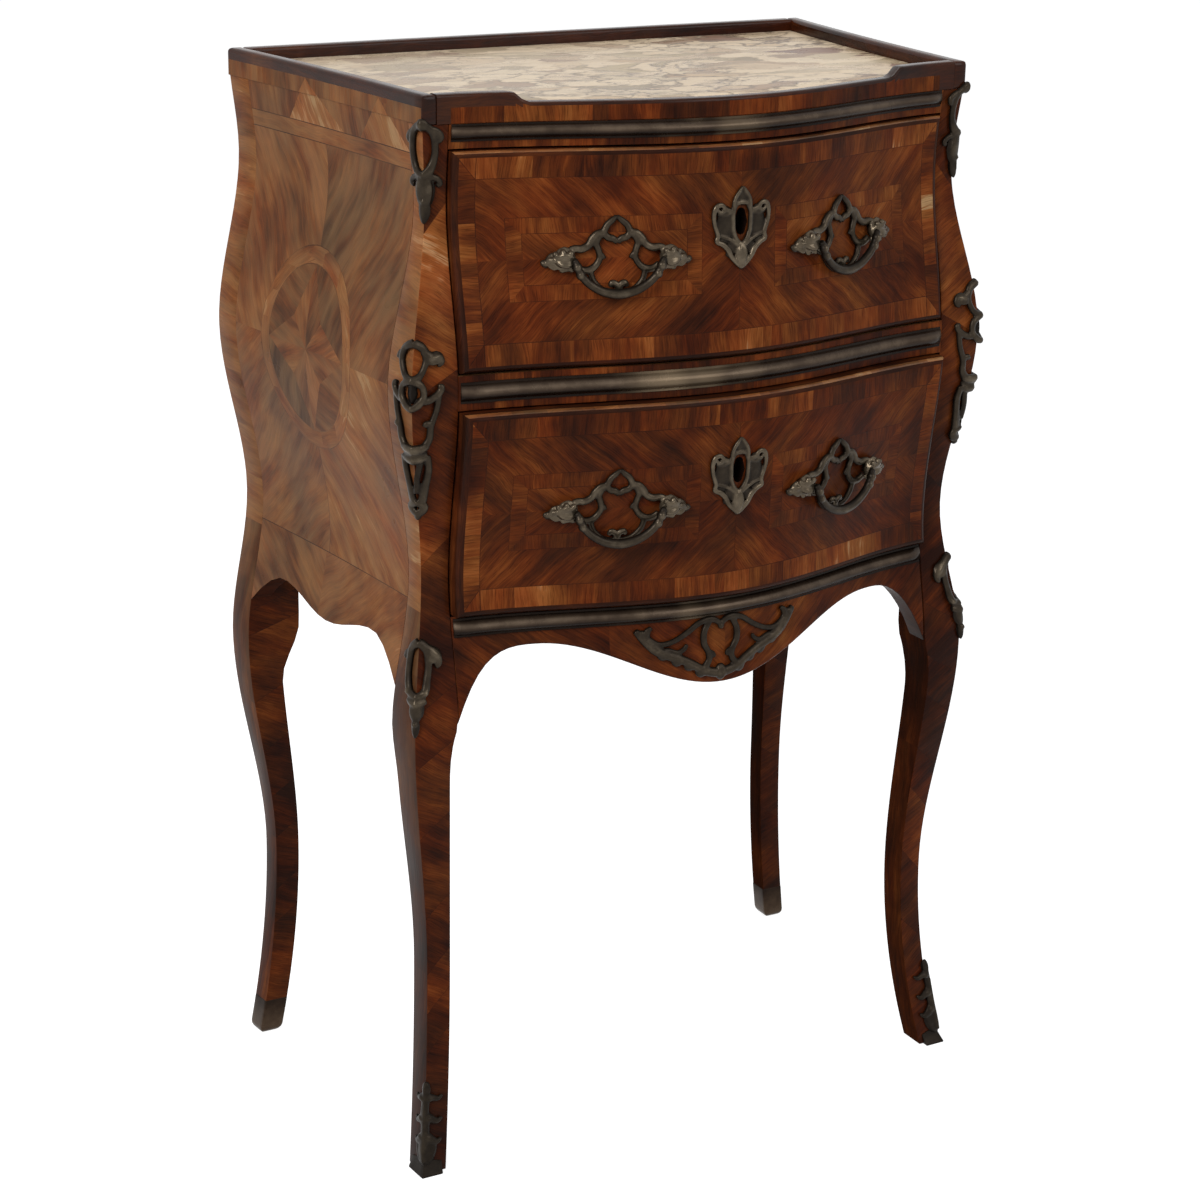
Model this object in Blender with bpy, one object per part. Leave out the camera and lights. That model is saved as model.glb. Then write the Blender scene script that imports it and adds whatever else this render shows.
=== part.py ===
"""Bombe bedside commode: two drawers, cabriole legs, marble top and cast bronze mounts."""
import math

import bmesh
import bpy
from mathutils import Matrix, Vector

# Driving sizes in metres. X runs across, the front faces -Y and Z is up.
HEIGHT = 0.800
FRONT_WIDTH = 0.4474
REAR_WIDTH = 0.5024
TOP_DEPTH = 0.2718
FRONT_BOW = 0.044
SIDE_HOLLOW = 0.003

# Turning points of the bombe corner line: the ankle from the floor, the others down from the top.
ANKLE_Z = 0.160
KNEE_DROP = 0.455
WAIST_DROP = 0.340
BELLY_DROP = 0.205
NECK_DROP = 0.075

# How far the corner line stands out from the gallery corner at toe, ankle, knee, waist, belly, neck.
FRONT_SIDE_SWELL = (0.0120, -0.0020, 0.0140, 0.0007, 0.0150, -0.0043)
FRONT_FACE_SWELL = (0.0222, 0.0006, 0.0151, -0.0022, 0.0137, -0.0057)
REAR_SIDE_SWELL = (0.0065, -0.0166, 0.0080, -0.0068, 0.0127, -0.0067)
CENTRE_CALM = 0.80
REAR_TOE_KICK = 0.010

# Legs and the stiles that continue them.
STILE_WIDTH = 0.0202
POST_DEPTH = 0.0209
REAR_POST_WIDTH = 0.031
REAR_POST_DEPTH = 0.026
FRONT_LEG_WIDTH_AT_KNEE = 0.0275
FRONT_LEG_WIDTH_AT_ANKLE = 0.0185
FRONT_LEG_DEPTH_AT_KNEE = 0.0300
FRONT_LEG_DEPTH_AT_ANKLE = 0.0225
REAR_LEG_WIDTH_AT_KNEE = 0.030
REAR_LEG_WIDTH_AT_ANKLE = 0.021
REAR_LEG_DEPTH_AT_KNEE = 0.025
REAR_LEG_DEPTH_AT_ANKLE = 0.0175
RIGHT_REAR_LEAN = 0.018
SHOULDER_DROP = 0.001
SHOULDER_BLEND = 0.048

# Carcass heights and thicknesses.
GALLERY_HEIGHT = 0.020
GALLERY_STEP = 0.007
GALLERY_THICK = 0.011
GALLERY_CORNER = 0.064
MARBLE_THICK = 0.011
TOP_BOARD_THICK = 0.012
UPPER_RAIL_HEIGHT = 0.017
DRAWER_HEIGHT = 0.151
DIVIDER_HEIGHT = 0.0245
SIDE_THICK = 0.016
BACK_THICK = 0.010
BOARD_THICK = 0.008
APRON_THICK = 0.020
APRON_AT_ARCH = 0.025
APRON_DROP = 0.042
APRON_LEG_FALL = 0.052
APRON_ARCH_SHARE = 0.70
APRON_STEEPNESS = 3.0
SIDE_DROP = 0.013
SIDE_LEG_FALL = 0.028
SIDE_ARCH_SHARE = 0.62
SIDE_STEEPNESS = 1.7

# Drawers.
DRAWER_GAP = 0.0015
FRONT_PROUD = 0.005
FRONT_INSET = 0.0225
DRAWER_SIDE_THICK = 0.010
DRAWER_SIDE_HEIGHT = 0.118
DRAWER_SIDE_SETBACK = 0.004
DRAWER_BACK_THICK = 0.008
DRAWER_BOTTOM_THICK = 0.006
DRAWER_BOTTOM_LIFT = 0.004
DRAWER_REAR_SPACE = 0.011
LOWER_AJAR = 0.006
RUNNER_WIDTH = 0.022
LOWER_RUNNER_HEIGHT = 0.015
RUNNER_GUIDE = 0.005
RUNNER_GUIDE_RISE = 0.012

# Locks.
LOCK_WIDTH = 0.050
LOCK_HEIGHT = 0.062
LOCK_THICK = 0.012
LOCK_TOP_DROP = 0.002
BOLT_WIDTH = 0.016
BOLT_HEIGHT = 0.036
BOLT_TRAVEL = 0.009
KEYHOLE_DROP = 0.056
KEYHOLE_RADIUS = 0.0030
KEYHOLE_SLOT = 0.0026
KEYHOLE_LENGTH = 0.011

# Bronze and brass.
BAND_HEIGHT = 0.008
BAND_THICK = 0.0032
BAND_SETBACK = 0.0015
TOP_BAND_RISE = 0.003
BOTTOM_BAND_DROP = 0.008
ORNAMENT_THICK = 0.0026
ORNAMENT_SLICE = 0.020
HANDLE_X = 0.096
HANDLE_DROP = 0.075
BOSS_SPREAD = 0.046
KNUCKLE = 0.0075
BAIL_STAND_OFF = 0.0105
BAIL_RADIUS = 0.0024
BAIL_HALF = 0.0400
BAIL_DROP = 0.0240
TOP_MOUNT_LENGTH = 0.064
TOP_MOUNT_WIDTH = 0.020
MIDDLE_MOUNT_RISE = 0.041
MIDDLE_MOUNT_LENGTH = 0.128
MIDDLE_MOUNT_WIDTH = 0.021
KNEE_MOUNT_RISE = 0.073
KNEE_MOUNT_LENGTH = 0.069
KNEE_MOUNT_WIDTH = 0.017
SABOT_HEIGHT = 0.068
REAR_CAP_HEIGHT = 0.028
SABOT_WALL = 0.0022
SABOT_SOLE = 0.004

# Clearances: one for seated faces, one for wrapped metal on faceted curves.
FIT = 0.0003
WRAP_FIT = 0.0006
BOARD_FIT = 0.0007

KNEE_Z = HEIGHT - KNEE_DROP
WAIST_Z = HEIGHT - WAIST_DROP
BELLY_Z = HEIGHT - BELLY_DROP
NECK_Z = HEIGHT - NECK_DROP
HALF_DEPTH = TOP_DEPTH / 2
STILE_X = FRONT_WIDTH / 2 - STILE_WIDTH
REAR_Y = HALF_DEPTH
CARCASS_TOP = HEIGHT - GALLERY_HEIGHT - FIT
POST_Y = POST_DEPTH - HALF_DEPTH
REAR_POST_Y = REAR_Y - REAR_POST_DEPTH
REAR_STILE_X = REAR_WIDTH / 2 + min(REAR_SIDE_SWELL[3:]) - REAR_POST_WIDTH
UPPER_TOP = CARCASS_TOP - UPPER_RAIL_HEIGHT - DRAWER_GAP
UPPER_BOTTOM = UPPER_TOP - DRAWER_HEIGHT
DIVIDER_TOP = UPPER_BOTTOM - DRAWER_GAP
DIVIDER_BOTTOM = DIVIDER_TOP - DIVIDER_HEIGHT
LOWER_TOP = DIVIDER_BOTTOM - DRAWER_GAP
LOWER_BOTTOM = LOWER_TOP - DRAWER_HEIGHT
APRON_TOP = LOWER_BOTTOM - DRAWER_GAP
APRON_ARCH_Z = APRON_TOP - APRON_AT_ARCH
SHOULDER_Z = APRON_ARCH_Z - APRON_LEG_FALL - SHOULDER_DROP
BOTTOM_BOARD_Z = LOWER_BOTTOM - FIT - LOWER_RUNNER_HEIGHT - FIT - BOARD_THICK
DUST_BOARD_Z = DIVIDER_BOTTOM + (DIVIDER_HEIGHT - BOARD_THICK) / 4
DRAWER_HALF = STILE_X - DRAWER_GAP
BOX_HALF = min(DRAWER_HALF - DRAWER_SIDE_SETBACK, REAR_STILE_X - RUNNER_GUIDE - FIT * 3)
DRAWER_REAR_Y = REAR_Y - BACK_THICK - DRAWER_REAR_SPACE


def ease(t):
    t = min(max(t, 0.0), 1.0)
    return t * t * (3 - 2 * t)


def mix(a, b, t):
    return a + (b - a) * t


def swell(z, stations):
    """Offset of a corner line at height z: a toe curve, then smooth turns between the stations."""
    toe, rest = stations[0], list(stations[1:]) + [0.0]
    levels = (ANKLE_Z, KNEE_Z, WAIST_Z, BELLY_Z, NECK_Z, HEIGHT)
    if z <= ANKLE_Z:
        return mix(rest[0], toe, (1 - z / ANKLE_Z) ** 2)
    for i in range(len(levels) - 1):
        if z <= levels[i + 1]:
            t = (z - levels[i]) / (levels[i + 1] - levels[i])
            return mix(rest[i], rest[i + 1], ease(t))
    return rest[-1]


def corner_x(z):
    return FRONT_WIDTH / 2 + swell(z, FRONT_SIDE_SWELL)


def corner_y(z):
    return -HALF_DEPTH - swell(z, FRONT_FACE_SWELL)


def rear_x(z):
    return REAR_WIDTH / 2 + swell(z, REAR_SIDE_SWELL)


def bow(x):
    """Serpentine plan of the front: forward in the middle, flat at the corners."""
    return FRONT_BOW * 0.5 * (1 + math.cos(math.pi * min(abs(x) / (FRONT_WIDTH / 2), 1.0)))


def front_y(x, z):
    calm = 1 - CENTRE_CALM * bow(x) / FRONT_BOW
    return -HALF_DEPTH - swell(z, FRONT_FACE_SWELL) * calm - bow(x)


def side_x(y, z):
    t = (y - corner_y(z)) / (REAR_Y - corner_y(z))
    hollow = SIDE_HOLLOW * math.sin(math.pi * min(max(t, 0.0), 1.0))
    return mix(corner_x(z), rear_x(z), t) - hollow


def drawer_inner_y(x):
    return FRONT_INSET - HALF_DEPTH - bow(x)


for stale in list(bpy.data.objects):
    bpy.data.objects.remove(stale, do_unlink=True)

parts = bpy.data.collections.new("bedside_commode")
cutters = bpy.data.collections.new("cutters")
bpy.context.scene.collection.children.link(parts)
bpy.context.scene.collection.children.link(cutters)


def finish(name, colour, roughness, metallic=0.0):
    material = bpy.data.materials.new(name)
    material.use_nodes = True
    shader = material.node_tree.nodes["Principled BSDF"]
    shader.inputs["Base Color"].default_value = (*colour, 1)
    shader.inputs["Roughness"].default_value = roughness
    shader.inputs["Metallic"].default_value = metallic
    material.diffuse_color = (*colour, 1)
    return material


VENEER = finish("kingwood_veneer", (0.20, 0.055, 0.022), 0.30)
RIM_WOOD = finish("dark_rim_wood", (0.085, 0.030, 0.022), 0.30)
MARBLE = finish("breccia_marble", (0.62, 0.52, 0.42), 0.25)
PINE = finish("carcass_pine", (0.42, 0.26, 0.13), 0.70)
BRONZE = finish("patinated_bronze", (0.22, 0.17, 0.09), 0.40, 1.0)
BRASS = finish("brass_moulding", (0.45, 0.30, 0.11), 0.35, 1.0)
IRON = finish("lock_iron", (0.12, 0.11, 0.10), 0.50, 1.0)

commode = bpy.data.objects.new("commode", None)
parts.objects.link(commode)


def frame_empty(name, location, turn=0.0, parent=commode):
    empty = bpy.data.objects.new(name, None)
    parts.objects.link(empty)
    empty.parent = parent
    empty.location = location
    empty.rotation_euler = (0, 0, turn)
    return empty


def add_object(name, bm, material, parent=commode, collection=parts):
    bmesh.ops.recalc_face_normals(bm, faces=bm.faces[:])
    mesh = bpy.data.meshes.new(name)
    bm.to_mesh(mesh)
    bm.free()
    obj = bpy.data.objects.new(name, mesh)
    collection.objects.link(obj)
    obj.parent = parent
    if material is not None:
        mesh.materials.append(material)
    if collection is cutters:
        obj.hide_render = True
        obj.display_type = "WIRE"
    return obj


def unit_block(divisions):
    """A unit cube cut into even slices along each axis."""
    bm = bmesh.new()
    bmesh.ops.create_cube(bm, size=1, matrix=Matrix.Translation((0.5, 0.5, 0.5)))
    for axis, count in enumerate(divisions):
        normal = Vector((axis == 0, axis == 1, axis == 2))
        for i in range(1, count):
            geom = bm.verts[:] + bm.edges[:] + bm.faces[:]
            bmesh.ops.bisect_plane(bm, geom=geom, plane_co=normal * (i / count), plane_no=normal)
    return bm


def shaped_block(name, divisions, place, material, parent=commode, collection=parts):
    """A block whose points (u, v, w), each from 0 to 1, are carried to place(u, v, w)."""
    bm = unit_block(divisions)
    for vert in bm.verts:
        vert.co = place(*vert.co)
    bmesh.ops.triangulate(bm, faces=bm.faces[:])
    return add_object(name, bm, material, parent, collection)


def box(name, low, high, material, parent=commode, collection=parts):
    size = [b - a for a, b in zip(low, high)]
    middle = [(a + b) / 2 for a, b in zip(low, high)]
    bm = bmesh.new()
    shape = Matrix.Translation(middle) @ Matrix.Diagonal((*size, 1))
    bmesh.ops.create_cube(bm, size=1, matrix=shape)
    return add_object(name, bm, material, parent, collection)


def boolean(obj, cutter, operation="DIFFERENCE"):
    modifier = obj.modifiers.new(cutter.name, "BOOLEAN")
    modifier.operation = operation
    modifier.solver = "EXACT"
    modifier.object = cutter


def outline_bmesh(loops, thickness):
    """Solid sheet in local XY, from z = 0 to thickness, with the first loop outside and holes after it."""
    curve = bpy.data.curves.new("outline", "CURVE")
    curve.dimensions = "2D"
    curve.fill_mode = "BOTH"
    curve.extrude = thickness / 2
    for loop in loops:
        spline = curve.splines.new("POLY")
        spline.points.add(len(loop) - 1)
        for point, (x, y) in zip(spline.points, loop):
            point.co = (x, y, 0, 1)
        spline.use_cyclic_u = True
    flat = bpy.data.objects.new("outline", curve)
    bpy.context.scene.collection.objects.link(flat)
    graph = bpy.context.evaluated_depsgraph_get()
    mesh = bpy.data.meshes.new_from_object(flat.evaluated_get(graph))
    bpy.data.objects.remove(flat, do_unlink=True)
    bm = bmesh.new()
    bm.from_mesh(mesh)
    bpy.data.meshes.remove(mesh)
    bmesh.ops.remove_doubles(bm, verts=bm.verts[:], dist=1e-6)
    bmesh.ops.translate(bm, verts=bm.verts[:], vec=(0, 0, thickness / 2))
    return bm


def mirrored(half):
    """Closed outline from its right half, listed from the top of the centre line to its foot."""
    return half + [(-x, y) for x, y in reversed(half) if x > 1e-9]


def ellipse(cx, cy, rx, ry, count=8):
    steps = [2 * math.pi * i / count for i in range(count)]
    return [(cx + rx * math.cos(a), cy + ry * math.sin(a)) for a in steps]


def wrapped_sheet(loops, thickness, slice_width, place):
    """An outline cut into narrow slices and laid on a curved face by place(across, up, out)."""
    bm = outline_bmesh(loops, thickness)
    for normal in (Vector((1, 0, 0)), Vector((0, 1, 0))):
        reach = [vert.co.dot(normal) for vert in bm.verts]
        count = math.ceil((max(reach) - min(reach)) / slice_width)
        for i in range(1, count):
            at = mix(min(reach), max(reach), i / count)
            geom = bm.verts[:] + bm.edges[:] + bm.faces[:]
            bmesh.ops.bisect_plane(bm, geom=geom, plane_co=normal * at, plane_no=normal)
    bmesh.ops.triangulate(bm, faces=bm.faces[:])
    for vert in bm.verts:
        vert.co = place(*vert.co)
    return bm


# Legs: each one runs from its foot up through the corner stile in a single piece of wood.
def leg_taper(z, at_ankle, at_knee):
    return mix(at_ankle, at_knee, ease((z - ANKLE_Z) / (KNEE_Z - ANKLE_Z)))


def into_post(z):
    return ease((z - SHOULDER_Z + SHOULDER_BLEND) / SHOULDER_BLEND)


def front_leg_section(z):
    width = leg_taper(z, FRONT_LEG_WIDTH_AT_ANKLE, FRONT_LEG_WIDTH_AT_KNEE)
    depth = leg_taper(z, FRONT_LEG_DEPTH_AT_ANKLE, FRONT_LEG_DEPTH_AT_KNEE)
    inner = mix(corner_x(z) - width, STILE_X, into_post(z))
    back = mix(corner_y(z) + depth, POST_Y, into_post(z))
    return inner, corner_y(z), back


def rear_leg_section(z):
    kick = REAR_TOE_KICK * max(1 - z / ANKLE_Z, 0) ** 2
    width = leg_taper(z, REAR_LEG_WIDTH_AT_ANKLE, REAR_LEG_WIDTH_AT_KNEE)
    depth = leg_taper(z, REAR_LEG_DEPTH_AT_ANKLE, REAR_LEG_DEPTH_AT_KNEE)
    inner = mix(rear_x(z) - width, REAR_STILE_X, into_post(z))
    face = mix(REAR_Y - kick - depth, REAR_POST_Y, into_post(z))
    return inner, face, REAR_Y - kick


def rear_lean(section, side, z):
    """The right rear leg is less curved than the left one: its ankle stands further out."""
    if section is front_leg_section or side < 0:
        return 0.0
    toe = max(1 - z / ANKLE_Z, 0) ** 2
    return RIGHT_REAR_LEAN * ease((KNEE_Z - z) / (KNEE_Z - ANKLE_Z)) * (1 - toe)


def leg_place(section, side, low, high, grow=0.0):
    def place(u, v, w):
        z = mix(low, high, w)
        inner, face, back = section(z)
        y = mix(face - grow, back + grow, v)
        outer = side_x(y, z) + grow
        x = mix(inner - grow, outer, u) + rear_lean(section, side, z)
        if section is front_leg_section and v < 0.5:
            y -= bow(x)
        return side * x, y, z
    return place


def make_leg(name, section, side, cap_name, cap_height):
    shaped_block(name, (1, 1, 44), leg_place(section, side, SABOT_SOLE + FIT, CARCASS_TOP), VENEER)
    cap = shaped_block(cap_name, (1, 1, 6), leg_place(section, side, 0, cap_height, SABOT_WALL), BRONZE)
    hollow_place = leg_place(section, side, SABOT_SOLE, cap_height * 1.2, FIT)
    boolean(cap, shaped_block(cap_name + "_hollow", (1, 1, 8), hollow_place, None, commode, cutters))


for side, word in ((-1, "left"), (1, "right")):
    make_leg(word + "_front_leg", front_leg_section, side, word + "_front_sabot", SABOT_HEIGHT)
    make_leg(word + "_rear_leg", rear_leg_section, side, word + "_rear_foot_cap", REAR_CAP_HEIGHT)


# Side panels: bombe boards between the legs, with a scalloped lower edge.
def scallop_z(q, arch, drop, leg_fall, steepness):
    """Lower edge: dropped at the middle (q = 0), arched at q = arch, falling to the leg at q = 1."""
    if q < arch:
        return APRON_ARCH_Z - drop * (0.5 + 0.5 * math.cos(math.pi * q / arch))
    return APRON_ARCH_Z - leg_fall * ((q - arch) / (1 - arch)) ** steepness


def side_low_z(y):
    middle = (POST_Y + REAR_POST_Y) / 2
    q = abs(y - middle) / ((REAR_POST_Y - POST_Y) / 2)
    return scallop_z(q, SIDE_ARCH_SHARE, SIDE_DROP, SIDE_LEG_FALL, SIDE_STEEPNESS)


def make_side(name, side):
    def place(u, v, w):
        y = mix(POST_Y + FIT, REAR_POST_Y - FIT, u)
        z = mix(side_low_z(y), CARCASS_TOP, w)
        return side * (side_x(y, z) - SIDE_THICK * v), y, z
    shaped_block(name, (14, 1, 16), place, VENEER)


make_side("left_side_panel", -1)
make_side("right_side_panel", 1)

box("back_panel", (FIT - REAR_STILE_X, REAR_Y - BACK_THICK, BOTTOM_BOARD_Z),
    (REAR_STILE_X - FIT, REAR_Y, CARCASS_TOP), PINE)


# Rails across the front: boards laid flat, sawn to the serpentine line in front and straight behind.
def make_rail(name, low, high, bolt_pocket_z):
    def place(u, v, w):
        x = mix(FIT - STILE_X, STILE_X - FIT, u)
        z = mix(low, high, w)
        return x, mix(front_y(x, z), POST_Y, v), z
    rail = shaped_block(name, (32, 1, 2), place, VENEER)
    if bolt_pocket_z:
        half = BOLT_WIDTH / 2 + DRAWER_GAP
        near = lock_face_y() - DRAWER_GAP - LOWER_AJAR
        far = lock_face_y() + LOCK_THICK + DRAWER_GAP
        pocket = box(name + "_pocket", (-half, near, low - 0.01), (half, far, bolt_pocket_z), None,
                     commode, cutters)
        boolean(rail, pocket)


def lock_face_y():
    return drawer_inner_y(LOCK_WIDTH / 2) + FIT


def pocket_top(drawer_top):
    return drawer_top - LOCK_TOP_DROP + BOLT_TRAVEL + DRAWER_GAP


make_rail("upper_front_rail", UPPER_TOP + DRAWER_GAP, CARCASS_TOP, pocket_top(UPPER_TOP))
make_rail("drawer_divider_rail", DIVIDER_BOTTOM, DIVIDER_TOP, pocket_top(LOWER_TOP))


# Front apron: a curved board with a dropped centre, arched towards the legs.
def apron_low_z(x):
    return scallop_z(abs(x) / STILE_X, APRON_ARCH_SHARE, APRON_DROP, APRON_LEG_FALL, APRON_STEEPNESS)


def apron_place(u, v, w):
    x = mix(FIT - STILE_X, STILE_X - FIT, u)
    z = mix(apron_low_z(x), APRON_TOP, w)
    return x, front_y(x, z) + APRON_THICK * v, z


shaped_block("front_apron", (30, 1, 3), apron_place, VENEER)


# Flat boards inside the carcass, notched round the rear legs.
def board_loop(edges, front_edge):
    half = STILE_X - FIT
    front = [(x, front_edge(x) + BOARD_FIT) for x in spaced(-half, half, 24)]
    behind_post = POST_Y + BOARD_FIT
    step = [(half, behind_post)] if front[-1][1] < POST_Y else []
    wide = [(min(side_x(y, z) for z in edges) - SIDE_THICK - BOARD_FIT, y)
            for y in spaced(behind_post, REAR_POST_Y - FIT, 9)]
    notch = [(REAR_STILE_X - FIT, REAR_POST_Y - FIT), (REAR_STILE_X - FIT, REAR_Y - BACK_THICK - FIT)]
    right = step + wide + notch
    return front + right + [(-x, y) for x, y in reversed(right)]


def spaced(a, b, count):
    return [mix(a, b, i / (count - 1)) for i in range(count)]


def make_board(name, low, thick, front_edge):
    bm = outline_bmesh([board_loop((low, low + thick), front_edge)], thick)
    bmesh.ops.translate(bm, verts=bm.verts[:], vec=(0, 0, low))
    bmesh.ops.triangulate(bm, faces=bm.faces[:])
    add_object(name, bm, PINE)


def behind_rail(x):
    return POST_Y


def behind_apron(x):
    edges = (BOTTOM_BOARD_Z, BOTTOM_BOARD_Z + BOARD_THICK)
    return max(front_y(x, z) for z in edges) + APRON_THICK


make_board("top_board", CARCASS_TOP - TOP_BOARD_THICK, TOP_BOARD_THICK, behind_rail)
make_board("dust_board", DUST_BOARD_Z, BOARD_THICK, behind_rail)
make_board("bottom_board", BOTTOM_BOARD_Z, BOARD_THICK, behind_apron)


# Drawer runners: a ledge under each drawer side with a guide lip outside it.
def make_runner(name, side, base, ledge):
    inner = BOX_HALF + FIT * 2 - (RUNNER_WIDTH - RUNNER_GUIDE)
    lip = BOX_HALF + FIT * 2
    outer = lip + RUNNER_GUIDE
    section = [(inner, base), (outer, base), (outer, ledge + RUNNER_GUIDE_RISE),
               (lip, ledge + RUNNER_GUIDE_RISE), (lip, ledge), (inner, ledge)]
    start = max(POST_Y, drawer_inner_y(DRAWER_HALF)) + DRAWER_GAP
    length = REAR_Y - BACK_THICK - FIT - start
    bm = outline_bmesh([section], length)
    for vert in bm.verts:
        x, z, y = vert.co
        vert.co = (side * x, start + y, z)
    add_object(name, bm, PINE)


for side, word in ((-1, "left"), (1, "right")):
    make_runner("upper_" + word + "_runner", side, DUST_BOARD_Z + BOARD_THICK + FIT, UPPER_BOTTOM - FIT)
    make_runner("lower_" + word + "_runner", side, BOTTOM_BOARD_Z + BOARD_THICK + FIT, LOWER_BOTTOM - FIT)


# Drawers: a thick shaped front with a plain box behind it.
def make_drawer_front(name, low, high, drawer):
    def place(u, v, w):
        x = mix(-DRAWER_HALF, DRAWER_HALF, u)
        z = mix(low, high, w)
        return x, mix(front_y(x, z) - FRONT_PROUD, drawer_inner_y(x), v), z
    front = shaped_block(name, (32, 1, 8), place, VENEER, drawer)
    hole = outline_bmesh([keyhole_loop(0.0)], FRONT_BOW + TOP_DEPTH)
    turn = Matrix.Rotation(math.pi / 2, 4, "X")
    bmesh.ops.transform(hole, matrix=turn, verts=hole.verts[:])
    bmesh.ops.translate(hole, verts=hole.verts[:], vec=(0, 0, high - KEYHOLE_DROP))
    boolean(front, add_object(name + "_keyhole", hole, None, drawer, cutters))


def keyhole_loop(grow):
    """Round eye with a slot below it, as seen from the front."""
    radius = KEYHOLE_RADIUS + grow
    half = KEYHOLE_SLOT / 2 + grow
    start = math.asin(half / radius)
    sweep = 2 * math.pi - 2 * start
    angles = [start - math.pi / 2 + sweep * i / 12 for i in range(13)]
    eye = [(radius * math.cos(a), radius * math.sin(a)) for a in angles]
    return eye + [(-half, -KEYHOLE_LENGTH - grow), (half, -KEYHOLE_LENGTH - grow)]


def make_drawer_box(word, low, drawer):
    side_start = max(drawer_inner_y(BOX_HALF), drawer_inner_y(BOX_HALF - DRAWER_SIDE_THICK)) + FIT
    top = low + DRAWER_SIDE_HEIGHT
    inner = BOX_HALF - DRAWER_SIDE_THICK
    box(word + "_drawer_left_side", (-BOX_HALF, side_start, low), (-inner, DRAWER_REAR_Y, top), PINE, drawer)
    box(word + "_drawer_right_side", (inner, side_start, low), (BOX_HALF, DRAWER_REAR_Y, top), PINE, drawer)
    back_y = DRAWER_REAR_Y - DRAWER_BACK_THICK
    box(word + "_drawer_back", (FIT - inner, back_y, low), (inner - FIT, DRAWER_REAR_Y, top), PINE, drawer)

    def place(u, v, w):
        x = mix(FIT - inner, inner - FIT, u)
        y = mix(drawer_inner_y(x) + FIT, back_y - FIT, v)
        return x, y, low + DRAWER_BOTTOM_LIFT + DRAWER_BOTTOM_THICK * w
    shaped_block(word + "_drawer_bottom", (32, 1, 1), place, PINE, drawer)


def make_lock(word, high, drawer):
    top = high - LOCK_TOP_DROP
    near = lock_face_y()
    half = LOCK_WIDTH / 2
    slot = BOLT_WIDTH / 2 + FIT
    base = top - LOCK_HEIGHT
    seat = top - BOLT_HEIGHT - FIT
    case = [(-half, base), (half, base), (half, top), (slot, top), (slot, seat), (-slot, seat),
            (-slot, top), (-half, top)]
    bm = outline_bmesh([case], LOCK_THICK)
    for vert in bm.verts:
        x, z, y = vert.co
        vert.co = (x, near + y, z)
    add_object(word + "_lock_case", bm, IRON, drawer)
    slide = frame_empty(word + "_bolt_slide", (0, near + LOCK_THICK / 2, top), 0, drawer)
    depth = LOCK_THICK / 2
    bolt = BOLT_WIDTH / 2
    box(word + "_lock_bolt", (-bolt, -depth, -BOLT_HEIGHT), (bolt, depth, 0), BRASS, slide)


def drawer_face(x, z, out):
    return front_y(x, z) - FRONT_PROUD - WRAP_FIT - out


def make_escutcheon(word, high, drawer):
    half = [(0, 0.027), (0.004, 0.021), (0.012, 0.019), (0.021, 0.017), (0.025, 0.009), (0.020, 0.001),
            (0.018, -0.009), (0.010, -0.018), (0.006, -0.024), (0, -0.033)]
    loops = [mirrored(half), keyhole_loop(FIT)]
    centre = high - KEYHOLE_DROP

    def place(across, up, out):
        return across, drawer_face(across, centre + up, out), centre + up
    bm = wrapped_sheet(loops, ORNAMENT_THICK, ORNAMENT_SLICE, place)
    add_object(word + "_escutcheon", bm, BRONZE, drawer)


# Handles: a pierced plate with two knuckles, and a bail that swings between them.
PLATE_HALF = [(0, 0.031), (0.004, 0.026), (0.010, 0.020), (0.021, 0.017), (0.031, 0.010), (0.039, 0.008),
              (0.046, 0.010), (0.054, 0.000), (0.046, -0.008), (0.036, -0.007), (0.028, -0.005),
              (0.018, -0.012), (0.008, -0.014), (0, -0.018)]
PLATE_EYES = (ellipse(0.017, 0.004, 0.008, 0.005), ellipse(-0.017, 0.004, 0.008, 0.005))


def make_handle(word, side, high, drawer):
    place_word = word + ("_left" if side < 0 else "_right")
    centre = Vector((side * HANDLE_X, 0, high - HANDLE_DROP))
    step = BOSS_SPREAD / 2
    rise = front_y(centre.x + step, centre.z) - front_y(centre.x - step, centre.z)
    turn = math.atan2(rise, 2 * step)
    centre.y = front_y(centre.x, centre.z) - FRONT_PROUD
    along = Vector((math.cos(turn), math.sin(turn), 0))
    outward = Vector((math.sin(turn), -math.cos(turn), 0))

    def plate_place(across, up, out):
        spot = centre + along * across
        return spot.x, drawer_face(spot.x, centre.z + up, out), centre.z + up
    loops = [mirrored(PLATE_HALF), *PLATE_EYES]
    sheet = wrapped_sheet(loops, ORNAMENT_THICK, ORNAMENT_SLICE, plate_place)
    plate = add_object(place_word + "_handle_plate", sheet, BRONZE, drawer)
    for end in (-1, 1):
        def knuckle_place(u, v, w):
            spot = centre + along * (end * BOSS_SPREAD + (u - 0.5) * KNUCKLE)
            z = centre.z + (w - 0.5) * KNUCKLE
            if v < 0.5:
                return spot.x, drawer_face(spot.x, z, ORNAMENT_THICK / 2), z
            tip = spot + outward * (BAIL_STAND_OFF + KNUCKLE / 2)
            return tip.x, tip.y, z
        name = place_word + ("_near_knuckle" if end < 0 else "_far_knuckle")
        boolean(plate, shaped_block(name, (1, 1, 1), knuckle_place, None, drawer, cutters), "UNION")

    pivot = frame_empty(place_word + "_bail_pivot", centre + outward * BAIL_STAND_OFF, turn, drawer)
    make_bail(place_word + "_bail", pivot)


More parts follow.
